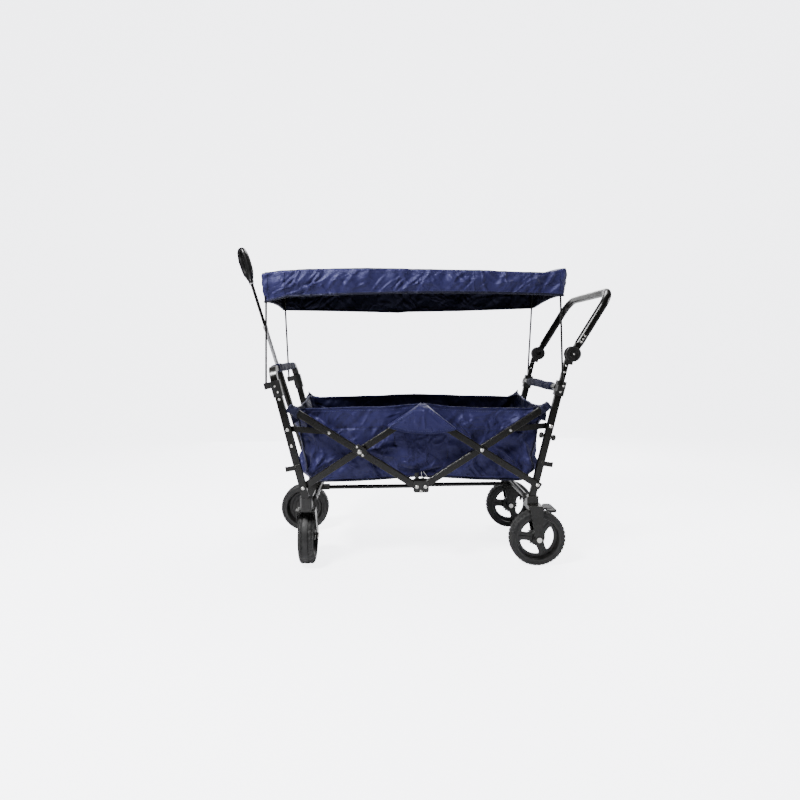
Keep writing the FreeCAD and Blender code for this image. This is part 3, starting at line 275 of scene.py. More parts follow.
BLACK = paint("powder_coat", (0.0032, 0.0031, 0.0025), 0.24, 0.5)
SATIN_BLACK = paint("satin_coat", (0.0045, 0.0044, 0.0038), 0.34, 0.3)
ZINC = metal("zinc_plate", (0.72, 0.71, 0.68), 0.3, 0.2)
CHROME = metal("chrome_plate", (0.86, 0.86, 0.88), 0.34, 0.1)
PLASTIC = plastic("moulded_plastic", (0.0045, 0.0044, 0.0042), 0.4)
GRIP = plastic("soft_grip", (0.0035, 0.0035, 0.0035), 0.28, 900.0)
RUBBER = rubber("tyre_rubber")
NAVY = fabric("navy_cloth", (0.0225, 0.0218, 0.078), (0.0115, 0.0112, 0.045), shine=0.36)
NAVY_PADDED = fabric("navy_padded_cloth", (0.0046, 0.0056, 0.023), (0.0026, 0.0033, 0.014), 0.6, 0.0014,
                     shine=0.14)
# Inner faces of the cloth: a darker navy, partly the coated lining's own colour and partly painted shade for
# inner faces that turn away from the light.
LINING_DARK_AND_SHADED = fabric("dark_lining_and_painted_shade", (0.0062, 0.0066, 0.024), (0.0030, 0.0032, 0.012), 0.5, 0.0011, 0.03,
                shine=0.2)
UNDERSIDE = fabric("black_coating", (0.0022, 0.0022, 0.0036), (0.0012, 0.0012, 0.002), 0.5, 0.0011, 0.02)
CORNER_CLOTH = fabric("corner_cloth", (0.0040, 0.0044, 0.0125), (0.0018, 0.0020, 0.006), 0.45, 0.0013, 0.05)
BINDING = fabric("edge_binding", (0.0035, 0.0036, 0.0050), (0.002, 0.0021, 0.003), 0.55, 0.0013, 0.05)
NAVY_BINDING = fabric("navy_binding", (0.0145, 0.0148, 0.055), (0.009, 0.0092, 0.035), 0.45, 0.0013,
                      shine=0.3)
THREAD = webbing("thread", (0.028, 0.03, 0.10), (0.055, 0.06, 0.17))
DARK_THREAD = webbing("dark_thread", (0.008, 0.009, 0.03), (0.02, 0.022, 0.06))
BLACK_WEB = webbing("black_webbing", (0.003, 0.003, 0.0035), (0.012, 0.012, 0.013))
WHITE_WEB = webbing("white_webbing", (0.42, 0.43, 0.45), (0.8, 0.81, 0.83))


# ---------------------------------------------------------------- mesh building
class Build:
    """Collects surfaces into one mesh, with UVs in metres and one material per surface."""

    def __init__(self):
        self.points = []
        self.faces = []
        self.uv = []
        self.marks = []
        self.count = 0
        self.materials = []

    def slot(self, material):
        if material not in self.materials:
            self.materials.append(material)
        return self.materials.index(material)

    def raw(self, points, faces, material, uv=None):
        start = self.count
        self.points.append(np.asarray(points, float))
        self.count += len(points)
        mark = self.slot(material)
        for face in faces:
            self.faces.append([start + i for i in face])
            self.marks.append(mark)
            self.uv.append([uv[i] if uv is not None else (points[i][0], points[i][2]) for i in face])

    def grid(self, points, material, round_u=False, round_v=False, flip=False):
        """points: array (nu, nv, 3)."""
        nu, nv = points.shape[:2]
        along = np.zeros((nu, nv))
        along[1:] = np.cumsum(np.linalg.norm(np.diff(points, axis=0), axis=2), axis=0)
        across = np.zeros((nu, nv))
        across[:, 1:] = np.cumsum(np.linalg.norm(np.diff(points, axis=1), axis=2), axis=1)
        uv = np.stack([along, across], 2).reshape(-1, 2).tolist()
        faces = []
        for i in range(nu if round_u else nu - 1):
            j = (i + 1) % nu
            for k in range(nv if round_v else nv - 1):
                m = (k + 1) % nv
                face = [i * nv + k, j * nv + k, j * nv + m, i * nv + m]
                faces.append(face[::-1] if flip else face)
        self.raw(points.reshape(-1, 3), faces, material, uv)
        return self

    def tube(self, path, radius, material, sides=10, closed=False, flat=1.0, caps=True):
        """A round or flattened cord along a path; radius may vary along it."""
        path = np.asarray(path, float)
        count = len(path)
        radius = np.broadcast_to(np.asarray(radius, float), (count,))
        if closed:
            ahead = np.roll(path, -1, 0) - np.roll(path, 1, 0)
        else:
            ahead = np.gradient(path, axis=0)
        ahead /= np.linalg.norm(ahead, axis=1)[:, None] + 1e-12
        side = np.cross(ahead[0], (0.0, 0.0, 1.0) if abs(ahead[0][2]) < 0.9 else (0.0, 1.0, 0.0))
        rings = []
        angles = np.linspace(0, 2 * math.pi, sides, endpoint=False)
        for i in range(count):
            side = side - ahead[i] * (side @ ahead[i])
            side /= np.linalg.norm(side) + 1e-12
            up = np.cross(side, ahead[i])
            round_it = np.cos(angles)[:, None] * side * flat + np.sin(angles)[:, None] * up
            rings.append(path[i] + radius[i] * round_it)
        rings = np.array(rings)
        self.grid(rings, material, round_u=closed, round_v=True)
        if caps and not closed:
            fan = [[i, (i + 1) % sides, sides] for i in range(sides)]
            for ring, middle in ((rings[0], path[0]), (rings[-1][::-1], path[-1])):
                self.raw(np.vstack([ring, middle]), fan, material)
        return self

    def lathe(self, profile, centre, axis, material, sides=48):
        """profile: (radius, height) pairs turned about axis through centre."""
        axis = np.asarray(axis, float) / np.linalg.norm(axis)
        first = np.cross(axis, (0.0, 0.0, 1.0) if abs(axis[2]) < 0.9 else (1.0, 0.0, 0.0))
        first /= np.linalg.norm(first)
        second = np.cross(axis, first)
        angles = np.linspace(0, 2 * math.pi, sides, endpoint=False)
        ring = np.cos(angles)[:, None] * first + np.sin(angles)[:, None] * second
        points = np.array([[np.asarray(centre) + r * d + h * axis for r, h in profile] for d in ring])
        return self.grid(points, material, round_u=True)

    def solid(self, work, matrix, material):
        points = [matrix @ v.co for v in work.verts]
        work.verts.index_update()
        self.raw([tuple(p) for p in points], [[v.index for v in f.verts] for f in work.faces], material)
        work.free()
        return self

    def block(self, size, matrix, material, bevel=0.001, steps=2):
        """Box with rounded edges."""
        work = bmesh.new()
        bmesh.ops.create_cube(work, size=1.0)
        for v in work.verts:
            v.co = Vector((v.co.x * size[0], v.co.y * size[1], v.co.z * size[2]))
        bmesh.ops.bevel(work, geom=list(work.edges), offset=bevel, segments=steps, affect="EDGES",
                        profile=0.5)
        return self.solid(work, matrix, material)

    def plate(self, outline, thick, matrix, material, bevel=0.0006):
        """Flat outline (x, z) given thickness about y = 0, edges eased."""
        work = bmesh.new()
        verts = [work.verts.new((x, -thick / 2, z)) for x, z in outline]
        face = work.faces.new(verts)
        made = bmesh.ops.extrude_face_region(work, geom=[face])
        bmesh.ops.translate(work, verts=[v for v in made["geom"] if isinstance(v, bmesh.types.BMVert)],
                            vec=(0, thick, 0))
        bmesh.ops.recalc_face_normals(work, faces=list(work.faces))
        bmesh.ops.bevel(work, geom=list(work.edges), offset=bevel, segments=1, affect="EDGES", profile=0.5)
        return self.solid(work, matrix, material)

    def ball(self, centre, radii, axis, material, sides=20, rings=7):
        """Domed rivet head: half an ellipsoid standing on its centre along axis."""
        turn = np.linspace(0, math.pi / 2, rings)
        profile = [(radii[0] * math.cos(t), radii[1] * math.sin(t)) for t in turn]
        return self.lathe(profile, centre, axis, material, sides)

    def stitches(self, path, lift, pitch=0.008, length=0.005, radius=0.00045, material=THREAD):
        """A row of short raised threads along a path, lifted off the cloth."""
        path = np.asarray(path, float)
        run = np.concatenate([[0], np.cumsum(np.linalg.norm(np.diff(path, axis=0), axis=1))])
        for start in np.arange(pitch * 0.5, run[-1] - length, pitch):
            ends = np.array([[np.interp(s, run, path[:, k]) for k in range(3)]
                             for s in (start, start + length * 0.5, start + length)])
            ends += np.asarray(lift) * np.array([[0.15], [1.0], [0.15]])
            self.tube(ends, radius, material, sides=4, caps=False)
        return self

    def done(self, name, body, slot, smooth=True, sharp=None):
        mesh = bpy.data.meshes.new(name)
        points = np.vstack(self.points)
        mesh.from_pydata(points.tolist(), [], self.faces)
        for material in self.materials:
            mesh.materials.append(material)
        mesh.polygons.foreach_set("material_index", self.marks)
        layer = mesh.uv_layers.new(name="panel")
        layer.data.foreach_set("uv", [c for face in self.uv for pair in face for c in pair])
        mesh.polygons.foreach_set("use_smooth", [smooth] * len(mesh.polygons))
        mesh.validate()
        mesh.update()
        made = bpy.data.objects.new(name, mesh)
        bpy.context.scene.collection.objects.link(made)
        if sharp:
            crease_edges(made, sharp)
        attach(made, body)
        return made


def crease_edges(piece, degrees):
    """Keeps edges sharper than the given angle flat-shaded on a smooth mesh."""
    work = bmesh.new()
    work.from_mesh(piece.data)
    bmesh.ops.recalc_face_normals(work, faces=list(work.faces))
    for edge in work.edges:
        if len(edge.link_faces) == 2 and edge.calc_face_angle(0) > math.radians(degrees):
            edge.smooth = False
    work.to_mesh(piece.data)
    work.free()


def bake(piece):
    """Applies the piece's modifiers to its mesh."""
    graph = bpy.context.evaluated_depsgraph_get()
    graph.update()
    mesh = bpy.data.meshes.new_from_object(piece.evaluated_get(graph), preserve_all_data_layers=True,
                                           depsgraph=graph)
    piece.modifiers.clear()
    piece.data = mesh
    return piece


def thicken(piece, thickness, inside=None, offset=-1.0):
    """Gives a sheet its cloth thickness, with another material on its inner face."""
    shell = piece.modifiers.new("thickness", "SOLIDIFY")
    shell.thickness = thickness
    shell.offset = offset
    shell.use_even_offset = False
    if inside is not None:
        piece.data.materials.append(inside)
        shell.material_offset = len(piece.data.materials) - 1
        shell.material_offset_rim = 0
    return bake(piece)


def cloth(build, name, body, thickness=0.0, inside=None, squash=None, replaced=None):
    """Finishes a fabric piece: rides on its body, gets its thickness and, when squash is given, its own copy
    of its mesh.
    """
    piece = build.done(name, body, "navy_fabric")
    if thickness:
        thicken(piece, thickness, inside)
    if replaced:
        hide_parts(replaced)
    if squash:
        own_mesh(piece)
    return piece


def turned(x, y, z, degrees):
    """Frame at a point, turned about +Y."""
    return Matrix.Translation((x, y, z)) @ Matrix.Rotation(math.radians(degrees), 4, "Y")


# ---------------------------------------------------------------- cloth shapes
def folds(along, up, marks):
    """Height of a set of sharp-backed folds: (along, up, angle, half length, width, height, bend) each."""
    total = np.zeros_like(along)
    for s0, t0, angle, reach, width, height, bend in marks:
        c, s = math.cos(angle), math.sin(angle)
        x = (along - s0) * c + (up - t0) * s
        y = (up - t0) * c - (along - s0) * s + bend * x * x / reach
        fade = np.clip(1 - (x / reach) ** 2, 0, 1) ** 1.5
        ridge = np.exp(-np.abs(y) / width) - 0.55 * np.exp(-((y - 1.7 * width) / (1.5 * width)) ** 2)
        total += height * fade * ridge
    return total


def swell(along, up, seed, scale, height):
    """Smooth broad unevenness from a few fixed waves."""
    rng = np.random.default_rng(seed)
    total = np.zeros_like(along)
    for _ in range(7):
        angle = rng.uniform(0, math.pi)
        wave = 2 * math.pi / (scale * rng.uniform(0.5, 1.5))
        phase = rng.uniform(0, 6.3)
        warp = 0.6 * np.sin(wave * 0.6 * (along * math.sin(angle * 2) + up) + phase * 2)
        total += np.sin(wave * (along * math.cos(angle) + up * math.sin(angle)) + phase + warp)
    return total * height / 3.5


def smooth_step(value, low, high):
    t = np.clip((value - low) / (high - low), 0, 1)
    return t * t * (3 - 2 * t)


# ---------------------------------------------------------------- basket
BAR_ANGLE = 32.67   # the scissor bars, in degrees from level
POST_TILT = 13.35   # the posts, in degrees from upright
BASKET_BODY = "top_hub_body"
BASKET_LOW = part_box("basket_shell")[0].z
SEAM_Z = 0.4945     # seam along the basket's sides
SEAM_SHARE = 0.715  # the same seam as a share of the wall's height
FLOOR_MARGIN = 0.012
PAD_THICKNESS = 0.011
PUFF_FRAMES = 20    # length of the padding simulation
TOP_X, TOP_Y = 0.4375, 0.1895
LOW_X, LOW_Y = 0.3955, 0.1735
NEAR_RIM = ((-0.447, -0.42, -0.315, -0.21, -0.105, 0.014, 0.106, 0.212, 0.383, 0.425, 0.447),
            (0.574, 0.563, 0.5655, 0.568, 0.570, 0.578, 0.566, 0.561, 0.557, 0.562, 0.574))
FAR_RIM = ((-0.447, -0.419, -0.226, -0.075, 0.043, 0.195, 0.40, 0.425, 0.447),
           (0.584, 0.571, 0.574, 0.580, 0.580, 0.574, 0.567, 0.574, 0.586))
HEM = ((-0.40, -0.335, -0.214, -0.107, -0.014, 0.072, 0.217, 0.355, 0.40),
       (0.309, 0.304, 0.306, 0.312, 0.319, 0.315, 0.305, 0.300, 0.306))
FOLD_SQUASH = dict(axis=(1, 0, 0), anchor=(0, 0, 0), keep=0.41)
COVER_SQUASH = dict(axis=(1, 0, 0), anchor=(-0.017, 0, 0), keep=0.39)
FLAP_SQUASH = dict(axis=(1, 0, 0), anchor=(0, 0, 0), keep=0.85)


def bearing(degrees):
    """Unit vector in plan, measured from +X."""
    angle = math.radians(degrees)
    return np.array([math.cos(angle), math.sin(angle)])


def loop(half_x, half_y, radius, long_count, short_count, corner_count):
    """Rounded rectangle in plan, anticlockwise from the near front corner: points and outward normals."""
    spots, outs = [], []
    corners = ((half_x, -half_y, -90), (half_x, half_y, 0), (-half_x, half_y, 90), (-half_x, -half_y, 180))
    previous = corners[3][:2]
    for (cx, cy, turn), count in zip(corners, (long_count, short_count) * 2):
        heading = bearing(turn + 90)
        out = bearing(turn)
        first = np.array(previous) + heading * radius
        last = np.array([cx, cy]) - heading * radius
        for t in np.linspace(0, 1, count, endpoint=False):
            spots.append(first + (last - first) * t)
            outs.append(out)
        middle = last - out * radius
        for t in np.linspace(0, 90, corner_count, endpoint=False):
            around = bearing(turn + t)
            spots.append(middle + around * radius)
            outs.append(around)
        previous = (cx, cy)
    return np.array(spots), np.array(outs)


def spans(long_count, short_count, corner_count):
    """Start and stop of a loop's four sides; the last one runs on over its corner."""
    start, found = 0, []
    for count in (long_count, short_count) * 2:
        found.append((start, start + count))
        start += count + corner_count
    found[3] = (found[3][0], start)
    return found


def rim_height(x, y):
    near = np.interp(x, *NEAR_RIM)
    far = np.interp(x, *FAR_RIM)
    share = smooth_step(y, -0.16, 0.16)
    sag = -0.012 * np.clip(1 - (y / 0.17) ** 2, 0, 1) * (np.abs(x) > 0.3)
    return near * (1 - share) + far * share + sag


LONG, SHORT, CORNER = ((250, 110, 9))
LEVELS = 80


def wall_marks(seed):
    """Tension folds of a side: fans from the four corners, pleats beside the bars, and small creases."""
    rng = np.random.default_rng(seed)
    marks = []
    for corner_x, corner_z, low, high, count in ((-0.41, 0.31, 35, 80, 9), (0.40, 0.31, 100, 145, 9),
                                                 (-0.42, 0.55, -62, -18, 7), (0.42, 0.55, 198, 242, 7),
                                                 (-0.20, 0.42, -80, 70, 6), (0.20, 0.42, 110, 260, 6)):
        for _ in range(count):
            angle = math.radians(rng.uniform(low, high))
            reach = rng.uniform(0.035, 0.10)
            away = reach * rng.uniform(0.7, 1.25)
            marks.append((corner_x + away * math.cos(angle), corner_z + away * math.sin(angle), angle, reach,
                          rng.uniform(0.006, 0.013), rng.uniform(0.005, 0.012), rng.uniform(-0.25, 0.25)))
    for _ in range(26):
        marks.append((rng.uniform(-0.38, 0.38), rng.uniform(0.33, 0.54), math.radians(rng.uniform(15, 165)),
                      rng.uniform(0.02, 0.06), rng.uniform(0.0045, 0.009), rng.uniform(0.002, 0.006),
                      rng.uniform(-0.3, 0.3)))
    for _ in range(10):
        marks.append((rng.uniform(-0.35, 0.35), rng.uniform(0.315, 0.345), math.radians(rng.uniform(60, 120)),
                      rng.uniform(0.012, 0.03), 0.004, rng.uniform(0.001, 0.0026), 0.1))
    return marks


def basket_wall():
    """Points of the basket's wall from hem to rim, and the outward direction of each column."""
    low, out = loop(LOW_X, LOW_Y, 0.03, LONG, SHORT, CORNER)
    top, _ = loop(TOP_X, TOP_Y, 0.026, LONG, SHORT, CORNER)
    up = np.linspace(0, 1, LEVELS)[None, :]
    plan = low[:, None, :] * (1 - up[..., None]) + top[:, None, :] * up[..., None]
    x, y = plan[..., 0], plan[..., 1]
    side = np.abs(out[:, 1])[:, None] > 0.7
    share = np.clip((np.abs(x) - 0.40) / 0.045, 0, 1) * side * up ** 4
    y = y + np.sign(y) * 0.008 * share
    hem = np.where(np.abs(out[:, 1])[:, None] > 0.5, np.interp(x[:, :1], *HEM), 0.306)
    rim = rim_height(x[:, -1:], y[:, -1:])
    z = hem + (rim - hem) * up
    along = np.where(side, x, y)
    ends = ~side
    end_marks = [(0.32 * place, *rest) for place, *rest in wall_marks(13)]
    shift = np.where(side & (y < 0), folds(x, z, wall_marks(11)), 0)
    shift += np.where(side & (y > 0), folds(-x, z, wall_marks(12)), 0)
    shift += np.where(ends, folds(y * np.sign(x), z, end_marks), 0)
    shift += swell(along, z, 5, 0.16, 0.0045) + swell(along, z, 6, 0.055, 0.0022)
    free = np.clip(np.sin(math.pi * up), 0, 1)
    half_length = np.where(ends, 0.19, 0.44)
    bulge = np.where(ends, 0.012, 0.004) * free * np.clip(1 - (along / half_length) ** 2, 0, 1)
    seam = np.where(side, -0.0022 * np.exp(-((z - SEAM_Z) / 0.004) ** 2), 0)
    waves = 0.0007 * np.sin(along * 2 * math.pi / 0.018)
    pucker = np.where(side, waves * np.exp(-np.abs(z - SEAM_Z) / 0.012), 0)
    held = np.clip(up / 0.06, 0, 1) * np.clip((1 - up) / 0.05, 0, 1)
    ripple = 0.0016 * np.sin(along * 2 * math.pi / 0.11 + 1.1) * up ** 6
    shift = shift * (0.25 + 0.75 * held) + bulge + seam + pucker + ripple
    # Inside the bars, and further in behind the hubs' plates.
    limit = np.where(side, np.where(np.abs(x) < 0.05, 0.1955, 0.2015), 9.0)
    spot = np.stack([x + out[:, 0, None] * shift, y + out[:, 1, None] * shift, z], 2)
    spot[..., 1] = np.clip(spot[..., 1], -limit, limit)
    spot[..., 2] += swell(along, z, 9, 0.2, 0.0015) * (up > 0.9)
    return spot, out


def make_basket():
    """Sewn wall of the basket, its bindings and corner seams, and stitching beside rim, hem and seam."""
    spot, out = basket_wall()
    shell = Build().grid(spot, NAVY, round_u=True)
    cloth(shell, "basket_fabric", BASKET_BODY, 0.0018, LINING_DARK_AND_SHADED, FOLD_SQUASH, "basket_shell")
    normal = np.concatenate([out, np.zeros((len(out), 1))], 1)
    trim = Build()
    trim.tube(spot[:, -1] + (0, 0, 0.0005) - normal * 0.001, 0.0034, NAVY_BINDING, closed=True)
    trim.tube(spot[:, 0] + normal * 0.0006, 0.0042, BINDING, closed=True)
    sides = spans(LONG, SHORT, CORNER)
    corners = [stop + CORNER // 2 for _, stop in sides[:3]] + [len(spot) - CORNER // 2 - 1]
    for k in corners:
        trim.tube(spot[k, 1:-1] + normal[k] * 0.0012, 0.0028, BINDING, sides=8)
    pitch = 0.0085
    for share, thread in ((0.96, THREAD), (0.05, DARK_THREAD), (SEAM_SHARE + 0.022, DARK_THREAD),
                          (SEAM_SHARE - 0.022, DARK_THREAD)):
        line = spot[:, round(share * (LEVELS - 1))] + normal * 0.0006
        for start, stop in sides:
            lift = normal[(start + stop) // 2] * 0.0007
            trim.stitches(line[start:stop], lift, pitch, pitch * 0.62, material=thread)
    cloth(trim, "basket_binding", BASKET_BODY, squash=FOLD_SQUASH)


def floor_panels():
    """Soft floor of the basket with four stiffened pads side by side on it."""
    pads = Build()
    width = 2 * (LOW_X - FLOOR_MARGIN) / 4
    for index in range(4):
        middle = -LOW_X + FLOOR_MARGIN + width * (index + 0.5)
        pads.grid(pad_face(middle, width - 0.004, 2 * LOW_Y - 2 * FLOOR_MARGIN), NAVY_PADDED)
    x, y = np.meshgrid(np.linspace(-1, 1, 60), np.linspace(-1, 1, 34), indexing="ij")
    height = np.interp(x * LOW_X, *HEM) + 0.0025 + 0.002 * swell(x, y, 31, 0.4, 1.0)
    ground = np.stack([x * (LOW_X + 0.001), y * (LOW_Y + 0.001), height], 2)
    cloth(Build().grid(ground, UNDERSIDE), "basket_floor", BASKET_BODY, 0.0022, UNDERSIDE, FOLD_SQUASH)
    mat = cloth(pads, "basket_floor_pads", BASKET_BODY)
    puff(mat, 0.006)
    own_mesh(mat)


def pad_face(middle, wide, deep):
    """Closed thin pad as one sheet wrapped over its edges: top, rounded edge, bottom."""
    x, y = np.meshgrid(np.linspace(-1, 1, 22), np.linspace(-1, 1, 36), indexing="ij")
    crown = (1 - np.abs(x) ** 6) * (1 - np.abs(y) ** 10)
    height = BASKET_LOW + 0.006 + PAD_THICKNESS * np.clip(crown, 0, 1) ** 0.5
    top = np.stack([middle + x * wide / 2, y * deep / 2, height], 2)
    low = top.copy()[::-1]
    low[..., 2] = BASKET_LOW + 0.005
    return np.concatenate([top, low[1:]], 0)


def puff(piece, cap):
    """Swells a padded piece with the cloth solver, keeps each point within cap of where it began."""
    start = np.array([v.co for v in piece.data.vertices])
    solver = piece.modifiers.new("cloth", "CLOTH")
    settings = solver.settings
    settings.quality = 5
    settings.mass = 0.2
    settings.tension_stiffness = 18
    settings.compression_stiffness = 9
    settings.shear_stiffness = 6
    settings.bending_stiffness = 0.4
    settings.use_pressure = True
    settings.uniform_pressure_force = 3.0
    settings.shrink_min = -0.03
    settings.effector_weights.gravity = 0.0
    solver.collision_settings.use_self_collision = False
    solver.point_cache.frame_start = 1
    solver.point_cache.frame_end = PUFF_FRAMES
    scene = bpy.context.scene
    for step in range(1, PUFF_FRAMES + 1):
        scene.frame_set(step)
    graph = bpy.context.evaluated_depsgraph_get()
    shaped = piece.evaluated_get(graph).data
    moved = np.array([v.co for v in shaped.vertices])
    piece.modifiers.clear()
    scene.frame_set(1)
    if moved.shape == start.shape and np.isfinite(moved).all():
        away = moved - start
        length = np.linalg.norm(away, axis=1)[:, None] + 1e-12
        moved = start + away * np.minimum(1, cap / length)
        piece.data.vertices.foreach_set("co", moved.ravel())
        piece.data.update()
    return piece


def side_flap(side_name, side):
    """Peaked flap over the upper hub, its slanted edges turned back over the bars to the wall."""
    wide, tall = 64, 40
    apex = np.array([0.008, 0.5855])
    left, right = np.array([-0.113, 0.507]), np.array([0.119, 0.4965])
    wall_y = 0.191
    turn_back = (0.08, 0.2, 0.4, 0.6, 0.8, 1.0)
    inner = np.linspace(0, 1, wide)
    drop = 4 * inner * (1 - inner)
    marks = [(x, z, math.radians(lean), *rest) for x, z, lean, *rest in
             ((-0.05, 0.53, 38, 0.05, 0.005, 0.0016, 0.1), (0.05, 0.525, -40, 0.05, 0.005, 0.0018, -0.1),
              (0.012, 0.54, 88, 0.045, 0.006, 0.0022, 0.0), (-0.02, 0.515, 70, 0.03, 0.005, 0.0012, 0.2),
              (0.04, 0.505, 110, 0.02, 0.004, 0.0012, 0.2), (-0.07, 0.505, 20, 0.03, 0.004, 0.0012, 0.2),
              (0.085, 0.503, 150, 0.03, 0.004, 0.0014, 0.2))]

    def tuck(corner, reach, way, steps):
        return [(corner[0] + way * 0.001 - way * 0.002 * t, side * (reach - (reach - wall_y) * t),
                 corner[1] + 0.004 * math.sin(math.pi * t)) for t in steps]

    rows = []
    for share in np.linspace(0.045, 1, tall):
        a = apex + (left - apex) * share
        b = apex + (right - apex) * share
        x = a[0] + (b[0] - a[0]) * inner
        z = a[1] + (b[1] - a[1]) * inner - drop * 0.0175 * share ** 2
        out = 0.2005 + 0.0475 * (1 - (1 - min(1.0, share / 0.32)) ** 2)
        out = out - 0.003 * (1 - drop) + folds(x, z, marks)
        out = np.clip(out, 0.19, 0.2505)
        front = np.stack([x, side * out, z], 1)
        rows.append(np.vstack([tuck(a, out[0], -1, turn_back[::-1]), front,
                               tuck(b, out[-1], 1, turn_back)]))
    sheet = np.array(rows).transpose(1, 0, 2)
    flap = Build().grid(sheet, NAVY, flip=side < 0)
    cloth(flap, f"{side_name}_side_flap", BASKET_BODY, 0.0014, LINING_DARK_AND_SHADED, FLAP_SQUASH)
    trim = Build()
    hem = sheet[6:-6, -1]
    lift = (0, side * 0.0007, 0)
    trim.tube(hem + (0, side * 0.0004, -0.0005), 0.0026, NAVY_BINDING, sides=8)
    for edge in (sheet[6, :], sheet[-7, :]):
        trim.stitches(edge + (0, side * 0.0008, -0.004), lift)
    trim.stitches(hem + (0, side * 0.001, 0.006), lift)
    cloth(trim, f"{side_name}_flap_binding", BASKET_BODY, squash=FLAP_SQUASH)


def gathered_pocket(side_name, side):
    """Loose gathered panel under the flap: pleats hang from its top and pool at the hem."""
    nu, nv = ((150, 76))
    u = np.linspace(-1, 1, nu)[:, None]
    v = np.linspace(0, 1, nv)[None, :]
    rng = np.random.default_rng(40 + (side > 0))
    half = 0.104 - 0.020 * v
    x = 0.008 + u * half
    z = 0.497 - v * (0.150 + 0.008 * np.cos(u * 2.2))
    hang = 0.45 + 0.55 * np.sin(math.pi * np.clip(v * 1.05, 0, 1)) ** 0.7
    pleats = np.zeros((nu, nv))
    for k in range(9):
        centre = rng.uniform(-0.85, 0.85)
        wide = rng.uniform(0.05, 0.10)
        lean = rng.uniform(-0.22, 0.22)
        d = (u - centre - lean * (v - 0.2) - 0.04 * np.sin(v * 5 + k)) / wide
        ridge = np.exp(-np.abs(d)) - 0.5 * np.exp(-((d - 1.5) / 1.2) ** 2)
        pleats += rng.uniform(0.0022, 0.0052) * ridge * hang
    pool = 0.0042 * np.sin(v * 19 + 2.4 * np.sin(u * 3.1) + 1.2 * u)
    pool = pool * smooth_step(v, 0.62, 0.9) * (1 - smooth_step(v, 0.96, 1.0))
    belly = 0.011 * np.sin(math.pi * np.clip(v, 0, 1) ** 1.4) * (1 - u ** 4)
    creases = folds(x, z, [(rng.uniform(-0.08, 0.09), rng.uniform(0.355, 0.46),
                            math.radians(rng.uniform(30, 150)), rng.uniform(0.015, 0.04), 0.0035,
                            rng.uniform(0.001, 0.0025), rng.uniform(-0.3, 0.3)) for _ in range(16)])
    wall = LOW_Y + (TOP_Y - LOW_Y) * (z - 0.31) / 0.26 + 0.0035
    out = wall + (pleats + pool + belly + creases) * np.clip(3.2 * (1 - np.abs(u)), 0, 1)
    spot = np.stack([x, side * np.clip(out, 0.15, 0.2025), z], 2)
    panel = Build().grid(spot, NAVY, flip=side < 0)
    cloth(panel, f"{side_name}_gathered_pocket", BASKET_BODY, 0.0012, LINING_DARK_AND_SHADED, FOLD_SQUASH)
    trim = Build()
    for edge in (spot[0, :], spot[-1, :], spot[:, -1]):
        trim.tube(edge + (0, side * 0.0004, 0), 0.0014, NAVY_BINDING, sides=6)
    for edge in (spot[2, 3:-2], spot[-3, 3:-2]):
        trim.stitches(edge + (0, side * 0.0005, 0), (0, side * 0.0006, 0), radius=0.0004)
    cloth(trim, f"{side_name}_pocket_binding", BASKET_BODY, squash=FOLD_SQUASH)


# ---------------------------------------------------------------- canopy
CANOPY_LOW, CANOPY_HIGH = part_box("canopy_cover")
NEAR_TOP = ((-0.541, -0.520, -0.476, -0.374, -0.247, -0.119, -0.034, 0.095, 0.225, 0.355, 0.430, 0.465,
             0.490, 0.511),
            (1.031, 1.035, 1.041, 1.046, 1.0485, 1.0485, 1.0465, 1.0435, 1.041, 1.0355, 1.0335, 1.037,
             1.0445, 1.049))
NEAR_HEM = ((-0.541, -0.495, -0.457, -0.334, -0.205, -0.077, 0.139, 0.225, 0.356, 0.46, 0.511),
            (0.935, 0.9435, 0.954, 0.9585, 0.9625, 0.9655, 0.966, 0.965, 0.9615, 0.9575, 0.9545))
FAR_HEM = ((-0.541, -0.325, -0.098, -0.066, -0.025, 0.195, 0.489, 0.511),
           (0.936, 0.932, 0.926, 0.9245, 0.928, 0.931, 0.940, 0.943))


TOP_MARKS = [(a, b, math.radians(c), d, 0.007, e, f) for a, b, c, d, e, f in
             ((-0.45, -0.12, 40, 0.12, 0.004, 0.1), (-0.46, 0.12, -38, 0.11, 0.004, 0.1),
              (0.42, -0.12, 140, 0.12, 0.004, 0.1), (0.42, 0.12, -142, 0.12, 0.0035, 0.1),
              (-0.25, -0.05, 12, 0.10, 0.0025, 0.2), (0.1, 0.06, -14, 0.14, 0.0025, 0.2),
              (0.22, -0.07, 20, 0.10, 0.003, 0.2), (-0.08, 0.09, 8, 0.12, 0.0025, 0.1),
              (0.0, -0.1, 95, 0.05, 0.003, 0.1), (-0.33, 0.02, 75, 0.06, 0.002, 0.3))]


def cover_marks(seed):
    """Folds of a valance: a fan from the front corner, long slanting folds, a crowd of small ones."""
    rng = np.random.default_rng(seed)
    marks = []
    for _ in range(11):
        angle = math.radians(rng.uniform(18, 68))
        reach = rng.uniform(0.03, 0.075)
        marks.append((-0.47 + rng.uniform(0.0, 0.14), 0.965 + rng.uniform(0.0, 0.05), angle, reach,
                      rng.uniform(0.003, 0.006), rng.uniform(0.0025, 0.0062), rng.uniform(-0.3, 0.2)))
    for _ in range(40):
        lean = rng.uniform(20, 62) if rng.random() < 0.68 else rng.uniform(112, 165)
        marks.append((rng.uniform(-0.42, 0.47), rng.uniform(0.972, 1.03), math.radians(lean),
                      rng.uniform(0.016, 0.06), rng.uniform(0.0028, 0.006), rng.uniform(0.0018, 0.0052),
                      rng.uniform(-0.35, 0.35)))
    for x, z, lean in ((-0.30, 1.0, 48), (-0.245, 1.005, 55), (-0.05, 1.01, 120), (-0.04, 0.99, 42),
                       (0.12, 1.0, 130), (0.16, 1.005, 12), (0.30, 1.0, 8), (0.40, 1.01, 20),
                       (0.46, 1.02, 48)):
        marks.append((x, z, math.radians(lean), 0.055, 0.0065, 0.0062, 0.12))
    return marks


